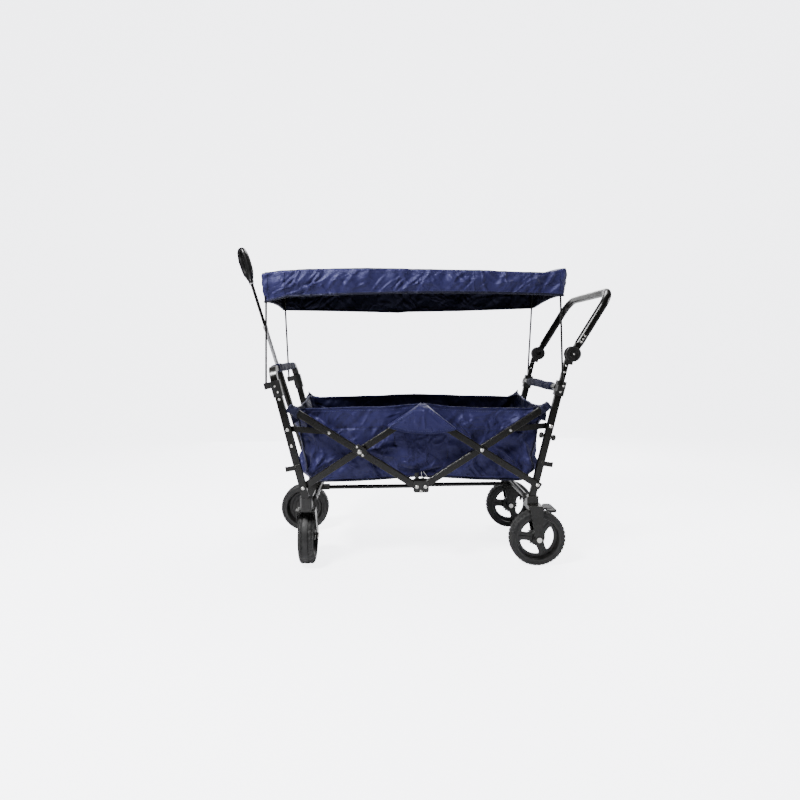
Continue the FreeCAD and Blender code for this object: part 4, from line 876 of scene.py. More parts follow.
def make_canopy():
    """One sewn sheet, from the hanging valance over its rounded shoulder to the sagging top."""
    front, rear, half_y = CANOPY_LOW.x, CANOPY_HIGH.x, CANOPY_HIGH.y
    middle = (front + rear) / 2
    half_x = (rear - front) / 2
    counts = ((262, 96, 9))
    hang, over, crown = ((28, 6, 40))
    edge, out = loop(half_x, half_y, 0.017, *counts)
    edge[:, 0] += middle
    x, y = edge[:, 0], edge[:, 1]
    share = smooth_step(y, -0.17, 0.17)
    hem = np.interp(x, *NEAR_HEM) * (1 - share) + np.interp(x, *FAR_HEM) * share
    dip = np.clip(1 - (y / 0.185) ** 2, 0, 1)
    hem = hem + np.where(np.abs(out[:, 0]) > 0.7, 0.010 * dip, 0)
    top = np.interp(x, *NEAR_TOP) - 0.004 * dip * (np.abs(out[:, 0]) > 0.7)
    normal = np.concatenate([out, np.zeros((len(out), 1))], 1)
    rows = []
    flat = np.abs(out[:, 1]) > 0.7
    along = np.where(flat, x, y)
    near_marks, far_marks, end_marks = cover_marks(3), cover_marks(4), cover_marks(8)
    bend = 0.009
    for k in range(hang):
        t = k / (hang - 1)
        z = hem + (top - bend - hem) * t
        wrinkle = np.where(flat & (y < 0), folds(x, z, near_marks), 0)
        wrinkle += np.where(flat & (y > 0), folds(x, z + 0.008, far_marks), 0)
        wrinkle += np.where(~flat, folds(y * 1.4, z, end_marks), 0) * 0.7
        wrinkle += swell(along, z, 14, 0.12, 0.0034) + swell(along, z, 15, 0.045, 0.0017)
        held = 0.3 + 0.7 * min(1, t / 0.12)
        lean = -0.003 * (1 - t) + 0.004 * math.sin(math.pi * t)
        rows.append(np.stack([x, y, z], 1) + normal * (wrinkle * held + lean - 0.003)[:, None])
    last = rows[-1]
    for k in range(1, over + 1):
        a = math.pi / 2 * k / over
        rows.append(last - normal * bend * (1 - math.cos(a)) + (0, 0, bend * math.sin(a)))
    shoulder = rows[-1]
    inner_x = np.clip(shoulder[:, 0], front + 0.17, rear - 0.17)
    spine = np.stack([inner_x, np.zeros(len(inner_x)), shoulder[:, 2]], 1)
    for k in range(1, crown + 1):
        t = (k / crown) ** 0.85
        point = shoulder * (1 - t) + spine * t
        slack = np.clip(1 - ((point[:, 0] - middle) / half_x) ** 4, 0, 1)
        fall = 0.017 * math.sin(math.pi / 2 * min(1, 1.15 * t)) * slack
        wave = swell(point[:, 0], point[:, 1], 17, 0.18, 0.003) * min(1, 3 * t)
        mark = folds(point[:, 0], point[:, 1], TOP_MARKS) * min(1, 4 * t)
        point[:, 2] = point[:, 2] - fall + wave + mark
        rows.append(point)
    sheet = np.stack(rows, 1)
    cover = Build().grid(sheet, NAVY, round_u=True)
    cloth(cover, "canopy_fabric", "hub_body", 0.0016, UNDERSIDE, COVER_SQUASH, "canopy_cover")
    trim = Build()
    trim.tube(sheet[:, 0] - normal * 0.0006, 0.0036, BINDING, closed=True)
    trim.tube(sheet[:, hang + over // 2] + normal * 0.0003, 0.0014, NAVY_BINDING, sides=6, closed=True)
    for start, stop in spans(*counts):
        lift = normal[(start + stop) // 2] * 0.0007
        for level in (2, hang - 3):
            trim.stitches(sheet[start:stop, level] + lift * 0.8, lift, 0.009, 0.0058)
    # Upright seams: two beside the front corners of the long sides, one beside the rear corners.
    for seam_x in (front + 0.021, front + 0.078, rear - 0.024):
        for sign in (-1, 1):
            k = int(np.argmin(np.abs(x - seam_x) + 10 * (np.sign(y) != sign) + 10 * ~flat))
            line = sheet[k, 1:hang]
            trim.tube(line + normal[k] * 0.0005, 0.0011, NAVY_BINDING, sides=6)
            trim.stitches(line + normal[k] * 0.0009 + (0.004, 0, 0), normal[k] * 0.0006, radius=0.0004)
    cloth(trim, "canopy_binding", "hub_body", squash=COVER_SQUASH)


# ---------------------------------------------------------------- crossbar covers and corner pouches
def wrap_sleeve():
    """Cloth cover of the front crossbar: a loose tube around the flat bar, puckered along its seam."""
    low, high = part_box("front_crossbar_sleeve")
    tilt = math.radians(-POST_TILT)
    centre = np.array([(low.x + high.x) / 2, 0, (low.z + high.z) / 2])
    count, around = ((200, 56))
    y = np.linspace(low.y, high.y, count)
    angle = np.linspace(0, 2 * math.pi, around, endpoint=False)
    rng = np.random.default_rng(52)
    deep, wide = 0.0148, 0.0128
    power = 0.42
    c, s = np.cos(angle), np.sin(angle)
    px = deep * np.sign(c) * np.abs(c) ** power
    pz = wide * np.sign(s) * np.abs(s) ** power
    size = np.ones((count, around))
    for _ in range(46):
        y0, a0 = rng.uniform(low.y, high.y), rng.uniform(0, 6.28)
        lean = rng.uniform(-0.02, 0.02)
        off = np.angle(np.exp(1j * (angle[None, :] - a0)))
        d = (y[:, None] - y0 - lean * off) / rng.uniform(0.003, 0.007)
        size += rng.uniform(0.05, 0.17) * np.exp(-np.abs(d)) * np.exp(-(off / rng.uniform(0.7, 1.5)) ** 2)
    size += 0.05 * np.sin(y[:, None] * 90 + 2 * np.sin(angle)[None, :])
    ends = np.clip((0.165 - np.abs(y)) / 0.008, 0, 1)[:, None]
    size = 1 + (size - 1) * ends
    ct, st = math.cos(tilt), math.sin(tilt)
    lx, lz = px * size, pz * size
    spot = np.stack([centre[0] + lx * ct + lz * st, np.broadcast_to(y[:, None], size.shape),
                     centre[2] - lx * st + lz * ct], 2)
    cover = Build().grid(spot, NAVY_PADDED, round_v=True)
    cloth(cover, "front_crossbar_cover", "front_frame", 0.0012, LINING_DARK_AND_SHADED, replaced="front_crossbar_sleeve")
    trim = Build()
    for end in (1, -2):
        trim.tube(spot[end], 0.0011, NAVY_BINDING, sides=6, closed=True)
    trim.stitches(spot[4:-4, around * 3 // 4], (0, 0, -0.0008))
    trim.stitches(spot[4:-4, around // 4 + 4], (0, 0, 0.0008))
    trim.done("front_crossbar_stitching", "front_frame", "navy_fabric")


def padded_roll():
    """Foam roll in a sewn cover on the rear crossbar, swollen between its tied ends."""
    low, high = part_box("rear_crossbar_sleeve")
    x, z = (low.x + high.x) / 2, (low.z + high.z) / 2
    count, around = 90, 36
    bore = 0.0104
    y = np.linspace(low.y, high.y, count)
    angle = np.linspace(0, 2 * math.pi, around, endpoint=False)
    rng = np.random.default_rng(61)
    body = 0.0152 * np.clip(1 - (np.abs(y) / 0.1655) ** 26, 0.55, 1)
    size = np.broadcast_to(body[:, None], (count, around)).copy()
    for _ in range(40):
        y0, a0 = rng.uniform(-0.16, 0.16), rng.uniform(0, 6.28)
        off = np.angle(np.exp(1j * (angle[None, :] - a0)))
        d = (y[:, None] - y0 - rng.uniform(-0.01, 0.01) * off) / 0.004
        size -= rng.uniform(0.0003, 0.0011) * np.exp(-np.abs(d)) * np.exp(-(off / 1.1) ** 2)
    for tie in (-0.055, 0.055):
        size -= 0.0012 * np.exp(-((y[:, None] - tie) / 0.003) ** 2)
    spot = np.stack([x + size * np.cos(angle), np.broadcast_to(y[:, None], size.shape),
                     z + size * np.sin(angle)], 2)
    roll = Build()
    roll.grid(spot, NAVY_PADDED, round_v=True)
    for index, sign in ((0, -1), (-1, 1)):
        ring = np.stack([x + bore * np.cos(angle), np.full(around, y[index]), z + bore * np.sin(angle)], 1)
        roll.grid(np.stack([spot[index], ring], 0), NAVY_PADDED, round_v=True, flip=sign > 0)
    piece = roll.done("rear_crossbar_pad", "rear_frame", "navy_fabric")
    puff(piece, 0.0016)
    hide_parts("rear_crossbar_sleeve")
    trim = Build()
    seam = np.stack([np.full(count, x + 0.004), y, np.full(count, z - 0.0155)], 1)
    trim.tube(seam[2:-2], 0.0010, NAVY_BINDING, sides=6)
    trim.stitches(seam[2:-2] + (0.003, 0, 0.0003), (0, 0, -0.0006))
    trim.done("rear_pad_seam", "rear_frame", "navy_fabric")


def corner_pouch(side_name, side, end):
    """Dark cloth pouch that holds a rim corner of the basket on the bar's upper end."""
    tag = "front" if end < 0 else "rear"
    layer = "outer" if end < 0 else "inner"
    low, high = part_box(f"{side_name}_{tag}_{layer}_bar")
    mid_y = (low.y + high.y) / 2
    angle = math.radians(BAR_ANGLE)
    along = np.array([end * math.cos(angle), 0, math.sin(angle)])
    up = np.array([-end * math.sin(angle), 0, math.cos(angle)])
    across = np.array([0.0, float(side), 0.0])
    tip = np.array([end * 0.4475, mid_y, 0.572])
    rows, closing, around = 34, 6, 40
    turn = np.linspace(0, 2 * math.pi, around, endpoint=False)
    c, s = np.cos(turn), np.sin(turn)
    sheet = []
    rng = np.random.default_rng(70 + end + side * 3)
    phases = rng.uniform(0, 6.3, 4)
    for k in range(rows + closing):
        t = min(k / (rows - 1), 1.0)
        station = -0.030 + 0.0335 * t
        shrink = 1.0
        if k >= rows:
            dome = (k - rows + 1) / closing * math.pi / 2
            shrink = math.cos(dome)
            station += 0.004 * math.sin(dome)
        high_r = (0.0155 if end < 0 else 0.0142) + 0.0012 * math.sin(9 * t + phases[0])
        wide_r = (0.0105 if end < 0 else 0.0094) + 0.0006 * math.sin(11 * t + phases[1])
        flare = 1 + 0.10 * (1 - t) ** 3
        ripple = 1 + 0.035 * np.sin(turn * 5 + phases[2] + 6 * t) * (1 - 0.6 * t)
        lift = high_r * flare * ripple * np.sign(s) * np.abs(s) ** 0.55 * max(shrink, 0.02)
        wide = wide_r * flare * ripple * np.sign(c) * np.abs(c) ** 0.55 * max(shrink, 0.02)
        mouth = (-0.012 * (s < 0) * np.abs(s)) * (1 - t) ** 2
        sheet.append(tip + np.outer(station + mouth, along) + np.outer(lift, up) + np.outer(wide, across))
    sheet = np.array(sheet)
    pouch = Build().grid(sheet, CORNER_CLOTH, round_v=True, flip=(end * side) > 0)
    cloth(pouch, f"{side_name}_{tag}_corner_pouch", f"{tag}_{layer}_bars", 0.0010, LINING_DARK_AND_SHADED)
    trim = Build()
    trim.tube(sheet[0], 0.0019, BINDING, sides=6, closed=True)
    trim.stitches(sheet[3, : around // 2], up * 0.0007, 0.007, 0.0045, 0.0004, DARK_THREAD)
    trim.done(f"{side_name}_{tag}_pouch_binding", f"{tag}_{layer}_bars", "navy_fabric")


def corner_gusset(side_name, side, end):
    """Cloth web from the basket's rim corner out to the pouch on the bar end."""
    tag = "front" if end < 0 else "rear"
    mid_y = 0.2185 if end < 0 else 0.2035
    nu, nv = 22, 26
    u = np.linspace(0, 1, nu)[:, None]
    v = np.linspace(0, 1, nv)[None, :]
    x0 = end * (0.400 + 0.045 * u)
    rim = rim_height(np.abs(x0) * end, np.full_like(x0, side * 0.19))
    y_wall = 0.1925 + 0.006 * u ** 3
    reach = 0.25 + 0.75 * np.sin(math.pi * 0.5 * (1 - v))
    y = y_wall + (mid_y - y_wall) * smooth_step(u, 0.35, 1.0) * reach
    z = rim + 0.004 + 0.008 * u ** 2 - (0.020 + 0.050 * u) * v
    y = y + 0.0012 * np.sin(14 * v + 5 * u)
    spot = np.stack([np.broadcast_to(x0, y.shape), side * y, z], 2)
    web = Build().grid(spot, CORNER_CLOTH, flip=(side * end) > 0)
    cloth(web, f"{side_name}_{tag}_corner_gusset", BASKET_BODY, 0.0012, LINING_DARK_AND_SHADED, FOLD_SQUASH)
    trim = Build()
    trim.tube(spot[:, 0], 0.0016, BINDING, sides=6)
    lift = (0, side * 0.0006, 0)
    trim.stitches(spot[1:, 2] + lift, lift, 0.007, 0.0045, 0.0004, DARK_THREAD)
    cloth(trim, f"{side_name}_{tag}_gusset_binding", BASKET_BODY, squash=FOLD_SQUASH)


# ---------------------------------------------------------------- straps
def strap(build, path, width, material, wide_axis, thick=0.0014):
    """Flat webbing along a path; wide_axis is the direction of its width."""
    path = np.asarray(path, float)
    fine = []
    run = np.concatenate([[0], np.cumsum(np.linalg.norm(np.diff(path, axis=0), axis=1))])
    for s in np.linspace(0, run[-1], max(12, int(run[-1] / 0.003))):
        fine.append([np.interp(s, run, path[:, k]) for k in range(3)])
    fine = np.array(fine)
    for _ in range(3):
        fine[1:-1] = (fine[:-2] + 2 * fine[1:-1] + fine[2:]) / 4
    ahead = np.gradient(fine, axis=0)
    ahead /= np.linalg.norm(ahead, axis=1)[:, None]
    wide = np.broadcast_to(np.asarray(wide_axis, float), fine.shape)
    off = np.cross(ahead, wide)
    off /= np.linalg.norm(off, axis=1)[:, None] + 1e-9
    ring = [(-0.5, -0.5), (0.5, -0.5), (0.53, 0.0), (0.5, 0.5), (-0.5, 0.5), (-0.53, 0.0)]
    rows = np.stack([fine + wide * (a * width) + off * (b * thick) for a, b in ring], 1)
    build.grid(rows, material, round_v=True)


def fold_straps():
    """Lifting strap and cord loops that hang from the basket at the lower hubs."""
    for side_name, side in SIDES:
        loops = Build()
        y = side * 0.1885
        strap(loops, [(-0.012, side * 0.174, 0.330), (-0.012, y, 0.318), (-0.009, y + side * 0.004, 0.300),
                      (-0.004, y + side * 0.003, 0.285), (0.004, y, 0.279), (0.009, y - side * 0.006, 0.290),
                      (0.008, side * 0.176, 0.312)], 0.014, BLACK_WEB, (1, 0, 0.25))
        strap(loops, [(0.006, side * 0.177, 0.335), (0.004, y + side * 0.002, 0.326),
                      (0.014, y + side * 0.005, 0.310), (0.026, y + side * 0.003, 0.301), (0.031, y, 0.308),
                      (0.022, y - side * 0.002, 0.324), (0.012, side * 0.178, 0.335)],
              0.006, WHITE_WEB, (0, 1, 0))
        cloth(loops, f"{side_name}_fold_strap", BASKET_BODY, squash=FOLD_SQUASH)


# ---------------------------------------------------------------- tyres
TYRE_BORE = 0.0802
# Blocks around, their slant, half width of a cut, where grooves run and how wide, the tread's inner edge,
# strength of cuts and of grooves, depth.
TREADS = {"chevron": (26, 0.75, 0.10, 0.42, 0.045, 0.47, 0.8, 1.0, 0.0026),
          "blocks": (40, 0.55, 0.14, 0.30, 0.04, 0.34, 1.0, 0.9, 0.0028)}


def tread_tyre(name, node, body, pattern):
    """Solid tyre with rounded shoulders, side wall ribs and cut tread blocks."""
    low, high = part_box(node)
    size = high - low
    centre = np.array((low + high) / 2)
    axis_index = int(np.argmin([size.x, size.y, size.z]))
    axis = np.zeros(3)
    axis[axis_index] = 1.0
    half = size[axis_index] / 2
    radius = max(size) / 2
    inner = TYRE_BORE
    profile = []
    shoulder = 0.010
    for t in np.linspace(0, 1, 5):
        profile.append((inner + (radius - shoulder - inner) * t, -half + 0.0012 * math.sin(math.pi * t)))
    for t in np.linspace(0, math.pi / 2, 8)[1:]:
        profile.append((radius - shoulder + shoulder * math.sin(t), -half + shoulder * (1 - math.cos(t))))
    for t in np.linspace(-1, 1, 23)[1:-1]:
        crown = 0.0016 * (1 - t * t)
        profile.append((radius - 0.0016 + crown, t * (half - shoulder)))
    mirrored_part = [(r, -h) for r, h in profile[:12][::-1]]
    profile = np.array(profile + mirrored_part)
    steps = 384
    angles = np.linspace(0, 2 * math.pi, steps, endpoint=False)
    r = np.broadcast_to(profile[:, 0], (steps, len(profile))).copy()
    h = np.broadcast_to(profile[:, 1], (steps, len(profile)))
    outer = np.clip((r - (radius - 0.006)) / 0.003, 0, 1)
    across = h / half
    count, slant, cut_width, groove_at, groove_width, edge, cut_share, groove_share, deep = TREADS[pattern]
    phase = angles[:, None] * count / (2 * math.pi) + np.abs(across) * slant
    cut = np.exp(-((phase % 1.0 - 0.5) / cut_width) ** 4)
    grooves = np.exp(-((np.abs(across) - groove_at) / groove_width) ** 4)
    depth = np.maximum(cut * (np.abs(across) > edge) * cut_share, grooves * groove_share) * deep
    r = r - depth * outer
    side_wall = np.clip((radius - 0.009 - r) / 0.002, 0, 1) * np.clip((r - inner - 0.003) / 0.002, 0, 1)
    h = h + np.sign(h) * side_wall * 0.0006 * np.sin((r - inner) * 2 * math.pi / 0.0042)
    first = np.cross(axis, (0.0, 0.0, 1.0) if abs(axis[2]) < 0.9 else (1.0, 0.0, 0.0))
    second = np.cross(axis, first)
    ring = np.cos(angles)[:, None] * first + np.sin(angles)[:, None] * second
    spot = centre + r[..., None] * ring[:, None, :] + h[..., None] * axis
    tyre = Build()
    tyre.grid(spot, RUBBER, round_u=True, round_v=True)
    piece = tyre.done(name, body, "tyre", sharp=48)
    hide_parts(node)
    return piece


# ---------------------------------------------------------------- rims and grip
def pierced(build, outlines, thick, matrix, material, bevel=0.0012):
    """Flat plate in the local XY plane: first outline is its edge, the others are openings."""
    curve = bpy.data.curves.new("outline", "CURVE")
    curve.dimensions = "2D"
    curve.fill_mode = "BOTH"
    curve.extrude = thick / 2 - bevel
    curve.bevel_depth = bevel
    curve.bevel_resolution = 2
    curve.offset = -bevel
    for outline in outlines:
        spline = curve.splines.new("POLY")
        spline.points.add(len(outline) - 1)
        for point, (x, y) in zip(spline.points, outline):
            point.co = (x, y, 0.0, 1.0)
        spline.use_cyclic_u = True
    holder = bpy.data.objects.new("outline", curve)
    mesh = holder.to_mesh()
    points = [tuple(matrix @ v.co) for v in mesh.vertices]
    build.raw(points, [list(face.vertices) for face in mesh.polygons], material)
    holder.to_mesh_clear()
    bpy.data.objects.remove(holder)
    bpy.data.curves.remove(curve)


def circle(radius, count=72):
    angles = np.linspace(0, 2 * math.pi, count, endpoint=False)
    return [(radius * math.cos(a), radius * math.sin(a)) for a in angles]


def window(middle, inner, outer, web):
    """Rounded three-sided opening between two spokes of the given width."""
    half = math.radians(60)
    corners = []
    for radius in (outer, inner):
        reach = half - math.asin((web / 2) / radius)
        share = np.linspace(-1, 1, 7) if radius == outer else np.linspace(1, -1, 3)
        angles = [middle + reach * t for t in share]
        corners += [(radius * math.cos(a), radius * math.sin(a)) for a in angles]
    spots = np.array(corners)
    for _ in range(3):
        ahead = np.roll(spots, -1, 0)
        spots = np.stack([0.78 * spots + 0.22 * ahead, 0.22 * spots + 0.78 * ahead], 1).reshape(-1, 2)
    return [tuple(spot) for spot in spots]


def toothed(radius, depth, teeth):
    spots = []
    for k in range(teeth):
        for share, r in ((0.0, radius - depth), (0.18, radius), (0.5, radius), (0.68, radius - depth)):
            a = 2 * math.pi * (k + share) / teeth
            spots.append((r * math.cos(a), r * math.sin(a)))
    return spots


def moulded_rim(name, node, tyre, body, spoked):
    """Wheel centre: a flanged barrel, with spokes and a toothed ring or with a closed dished disc."""
    low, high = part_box(tyre)
    size = high - low
    centre = (low + high) / 2
    turned_x = size.x < size.y
    axis = Vector((1, 0, 0)) if turned_x else Vector((0, 1, 0))
    half = min(size.x, size.y) / 2
    first = Vector((0, 1, 0)) if turned_x else Vector((1, 0, 0))
    third = first.cross(Vector((0, 0, 1)))
    place = Matrix(((first.x, 0, third.x, centre.x), (first.y, 0, third.y, centre.y),
                    (first.z, 1, third.z, centre.z), (0, 0, 0, 1)))
    outward = -1 if centre.y < 0 else 1
    rim = Build()
    w = half - 0.0005
    half_barrel = [(0.0722, 0.0075), (0.0742, w - 0.003), (0.0752, w + 0.0008), (0.0775, w + 0.0016),
                   (0.0800, w + 0.0012), (TYRE_BORE, w)]
    barrel = [(radius, -height) for radius, height in half_barrel[::-1]] + half_barrel
    rim.lathe(barrel, centre, axis, PLASTIC, 96)
    if spoked:
        windows = [window(math.radians(a), 0.0300, 0.0618, 0.0280) for a in (234, 354, 114)]
        pierced(rim, [circle(0.0735)] + windows, 0.0125, place, PLASTIC, 0.0022)
        for a in (294, 54, 174):
            t = math.radians(a)
            for face in (-1, 1):
                ridge = place @ Matrix.Rotation(t, 4, "Z") @ Matrix.Translation((0.044, 0, face * 0.0066))
                rim.block((0.046, 0.0052, 0.0024), ridge, PLASTIC, 0.001)
        ring = place @ Matrix.Translation((0, 0, (0.0125 if third.y * outward < 0 else -0.0125)))
        pierced(rim, [toothed(0.0335, 0.0050, 16), circle(0.019)], 0.006, ring, PLASTIC, 0.0007)
    for face in (-1, 1):
        if not spoked:
            rim.lathe([(0.0735, w * 0.86), (0.0705, w * 0.62), (0.066, 0.0062), (0.058, 0.0054),
                       (0.0565, 0.0068), (0.0545, 0.0068), (0.053, 0.0050), (0.044, 0.0046),
                       (0.0425, 0.0058), (0.0405, 0.0058), (0.039, 0.0042), (0.028, 0.0046),
                       (0.022, 0.0085), (0.0185, 0.0120), (0.0, 0.0125)],
                      centre, axis * face, PLASTIC, 72)
        rim.lathe([(0.0245, 0.006), (0.0235, 0.0075), (0.0205, 0.0085), (0.0185, half * 0.86),
                   (0.0170, half * 0.93), (0.0095, half * 0.93), (0.0088, half * 0.88), (0.0, half * 0.88)],
                  centre, axis * face, PLASTIC, 48)
    piece = rim.done(name, body, "black_plastic", sharp=38)
    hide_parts(node)


def loop_grip():
    """Closed moulded loop on the handle's tip with a thickened palm side, a collar and a chrome ring."""
    node = NODES["handle_grip"]
    points = np.array([tuple(node.matrix_world @ v.co) for v in node.data.vertices])
    lean = math.radians(16)
    up = np.array([-math.sin(lean), 0, math.cos(lean)])
    across = np.array([math.cos(lean), 0, math.sin(lean)])
    turn = math.radians(52)
    face = across * math.cos(turn) + np.array([0, 1.0, 0]) * math.sin(turn)
    wide = -across * math.sin(turn) + np.array([0, 1.0, 0]) * math.cos(turn)
    rise = points @ up
    low, high = rise.min(), rise.max()
    middle = (points.min(0) + points.max(0)) / 2
    middle = middle + up * ((low + high) / 2 - middle @ up)
    span = (high - low) / 2
    steps = 72
    t = np.linspace(0, 2 * math.pi, steps, endpoint=False)
    c, s = np.cos(t), np.sin(t)
    half_up = span - 0.0125
    path_up = half_up * np.sign(s) * np.abs(s) ** 0.72 + 0.004
    narrow = 0.0150 - 0.0055 * smooth_step(-s, 0.1, 1.0)
    path_wide = narrow * np.sign(c) * np.abs(c) ** 0.72
    spine = middle + np.outer(path_up, up) + np.outer(path_wide, wide)
    ring = np.linspace(0, 2 * math.pi, 20, endpoint=False)
    ahead = np.roll(spine, -1, 0) - np.roll(spine, 1, 0)
    ahead /= np.linalg.norm(ahead, axis=1)[:, None]
    rows = []
    for k in range(steps):
        side = np.cross(face, ahead[k])
        side /= np.linalg.norm(side)
        palm = 0.0010 * max(0.0, math.cos(t[k])) * (1 + math.sin(9 * t[k])) * 0.5
        thick = 0.0092 + 0.0016 * math.cos(t[k] * 2) + palm
        rows.append(spine[k] + np.outer(np.cos(ring) * thick, side)
                    + np.outer(np.sin(ring) * (thick + 0.0022), face))
    grip = Build()
    grip.grid(np.array(rows), GRIP, round_u=True, round_v=True)
    foot = middle - up * (span - 0.001)
    grip.lathe([(0.0, 0.0), (0.0088, 0.0), (0.0095, 0.0012), (0.0098, 0.010), (0.0112, 0.024),
                (0.0125, 0.036), (0.0105, 0.043), (0.0, 0.044)], foot, up, GRIP, 32)
    for k in range(3):
        grip.lathe([(0.0099, 0.0), (0.0106, 0.0006), (0.0106, 0.0016), (0.0099, 0.0022)],
                   foot + up * (0.006 + 0.0045 * k), up, GRIP, 28)
    grip.lathe([(0.0074, -0.0045), (0.0092, -0.0040), (0.0095, -0.002), (0.0092, 0.0002), (0.0074, 0.0006)],
               foot, up, CHROME, 32)
    piece = grip.done("loop_grip", body_of(node)[0], "black_plastic", sharp=50)
    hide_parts("handle_grip")


# ---------------------------------------------------------------- small hardware
def crossing_stop(side_name, side):
    """Moulded stop on the front crossing: a saddle along the rising bar, a boss and two small rivets."""
    base = turned(-0.2115, side * 0.2425, 0.421, BAR_ANGLE)
    saddle = Build()
    outline = [(-0.020, -0.0135), (0.018, -0.0135), (0.024, -0.004), (0.024, 0.0145), (0.010, 0.0175),
               (-0.019, 0.0175), (-0.024, 0.010), (-0.024, -0.006)]
    saddle.plate(outline, 0.005, base, SATIN_BLACK)
    lip = base @ Matrix.Translation((-0.002, -side * 0.0005, 0.0182))
    saddle.block((0.034, 0.0062, 0.0035), lip, SATIN_BLACK, 0.0008)
    for point, size in (((0, 0), 0.0064), ((0.0155, -0.0045), 0.0034), ((-0.0165, 0.0095), 0.0030)):
        spot = base @ Vector((point[0], side * 0.0023, point[1]))
        washer = [(size * 1.25, 0), (size * 1.25, 0.0007), (size * 1.1, 0.0010)]
        saddle.lathe(washer, spot, (0, side, 0), ZINC, 24)
        saddle.ball(spot + Vector((0, side * 0.0009, 0)), (size, size * 0.42), (0, side, 0), ZINC)
    saddle.done(f"{side_name}_crossing_stop", "front_outer_bars", "black_paint", sharp=35)


def rivet_heads(build, spots, side, size=0.0038):
    for x, y, z in spots:
        washer = [(size * 1.45, 0), (size * 1.45, 0.0006), (size * 1.2, 0.0010)]
        build.lathe(washer, (x, y, z), (0, side, 0), ZINC, 22)
        build.ball((x, y + side * 0.0009, z), (size, size * 0.5), (0, side, 0), ZINC, 18)


def post_point(end, up, off=0.0):
    """x and z of a point on a post: up along it from its lower pivot, off square to it."""
    tilt = math.radians(POST_TILT)
    return (end * (0.408 + up * math.sin(tilt) + off * math.cos(tilt)),
            0.295 + up * math.cos(tilt) - off * math.sin(tilt))


def post_details():
    """Snap buttons, lock knobs and small rivets on the posts."""
    tilt = math.radians(POST_TILT)
    for side_name, side in SIDES:
        front = Build()
        face = side * 0.2421
        x, z = post_point(-1, 0.152)
        front.lathe([(0.0052, 0), (0.0052, 0.0012), (0.0046, 0.0022), (0.0030, 0.0030), (0, 0.0033)],
                    (x, face, z), (0, side, 0), ZINC, 20)
        x, z = post_point(-1, 0.318)
        rivet_heads(front, [(x, face, z)], side, 0.0034)
        front.done(f"{side_name}_front_post_rivets", "front_frame", "zinc", sharp=35)
        rear = Build()
        x, z = post_point(1, 0.325)
        rivet_heads(rear, [(x, side * 0.2201, z)], side, 0.0036)
        rear.done(f"{side_name}_rear_post_rivets", "rear_frame", "zinc", sharp=35)
        knob = Build()
        for way in (1, -1):
            x, z = post_point(1, 0.172, way * 0.012)
            axis = (way * math.cos(tilt), 0, -way * math.sin(tilt))
            knob.lathe([(0.0048, 0), (0.0048, 0.004), (0.0094, 0.0055), (0.0108, 0.009), (0.0106, 0.0135),
                        (0.0080, 0.0165), (0.004, 0.0178), (0, 0.018)],
                       (x, side * 0.210, z), axis, PLASTIC, 32)
        knob.done(f"{side_name}_rear_lock_knobs", "rear_frame", "black_plastic", sharp=40)


def braces():
    """Flat diagonal struts from the front cross tube to the caster sockets."""
    for side_name, side in SIDES:
        strut = Build()
        start = Vector((-0.372, side * 0.150, 0.244))
        stop = Vector((-0.405, side * 0.203, 0.222))
        run = stop - start
        frame_at = Matrix.Translation((start + stop) / 2) @ run.to_track_quat("X", "Z").to_matrix().to_4x4()
        strut.block((run.length + 0.01, 0.014, 0.003), frame_at, SATIN_BLACK, 0.0008)
        strut.done(f"{side_name}_front_brace", "front_frame", "black_paint")


def end_caps():
    """Moulded plugs in the ends of the two lower cross tubes."""
    for side_name, side in SIDES:
        for end, tag in ((1, "rear"), (-1, "front")):
            cap = Build()
            cap.lathe([(0.0, 0.0045), (0.006, 0.004), (0.0095, 0.0025), (0.0102, 0.0), (0.0102, -0.0005)],
                      (end * 0.376, side * 0.1935, 0.246), (0, side, 0), PLASTIC, 28)
            cap.done(f"{side_name}_{tag}_tube_cap", f"{tag}_frame", "black_plastic", sharp=40)


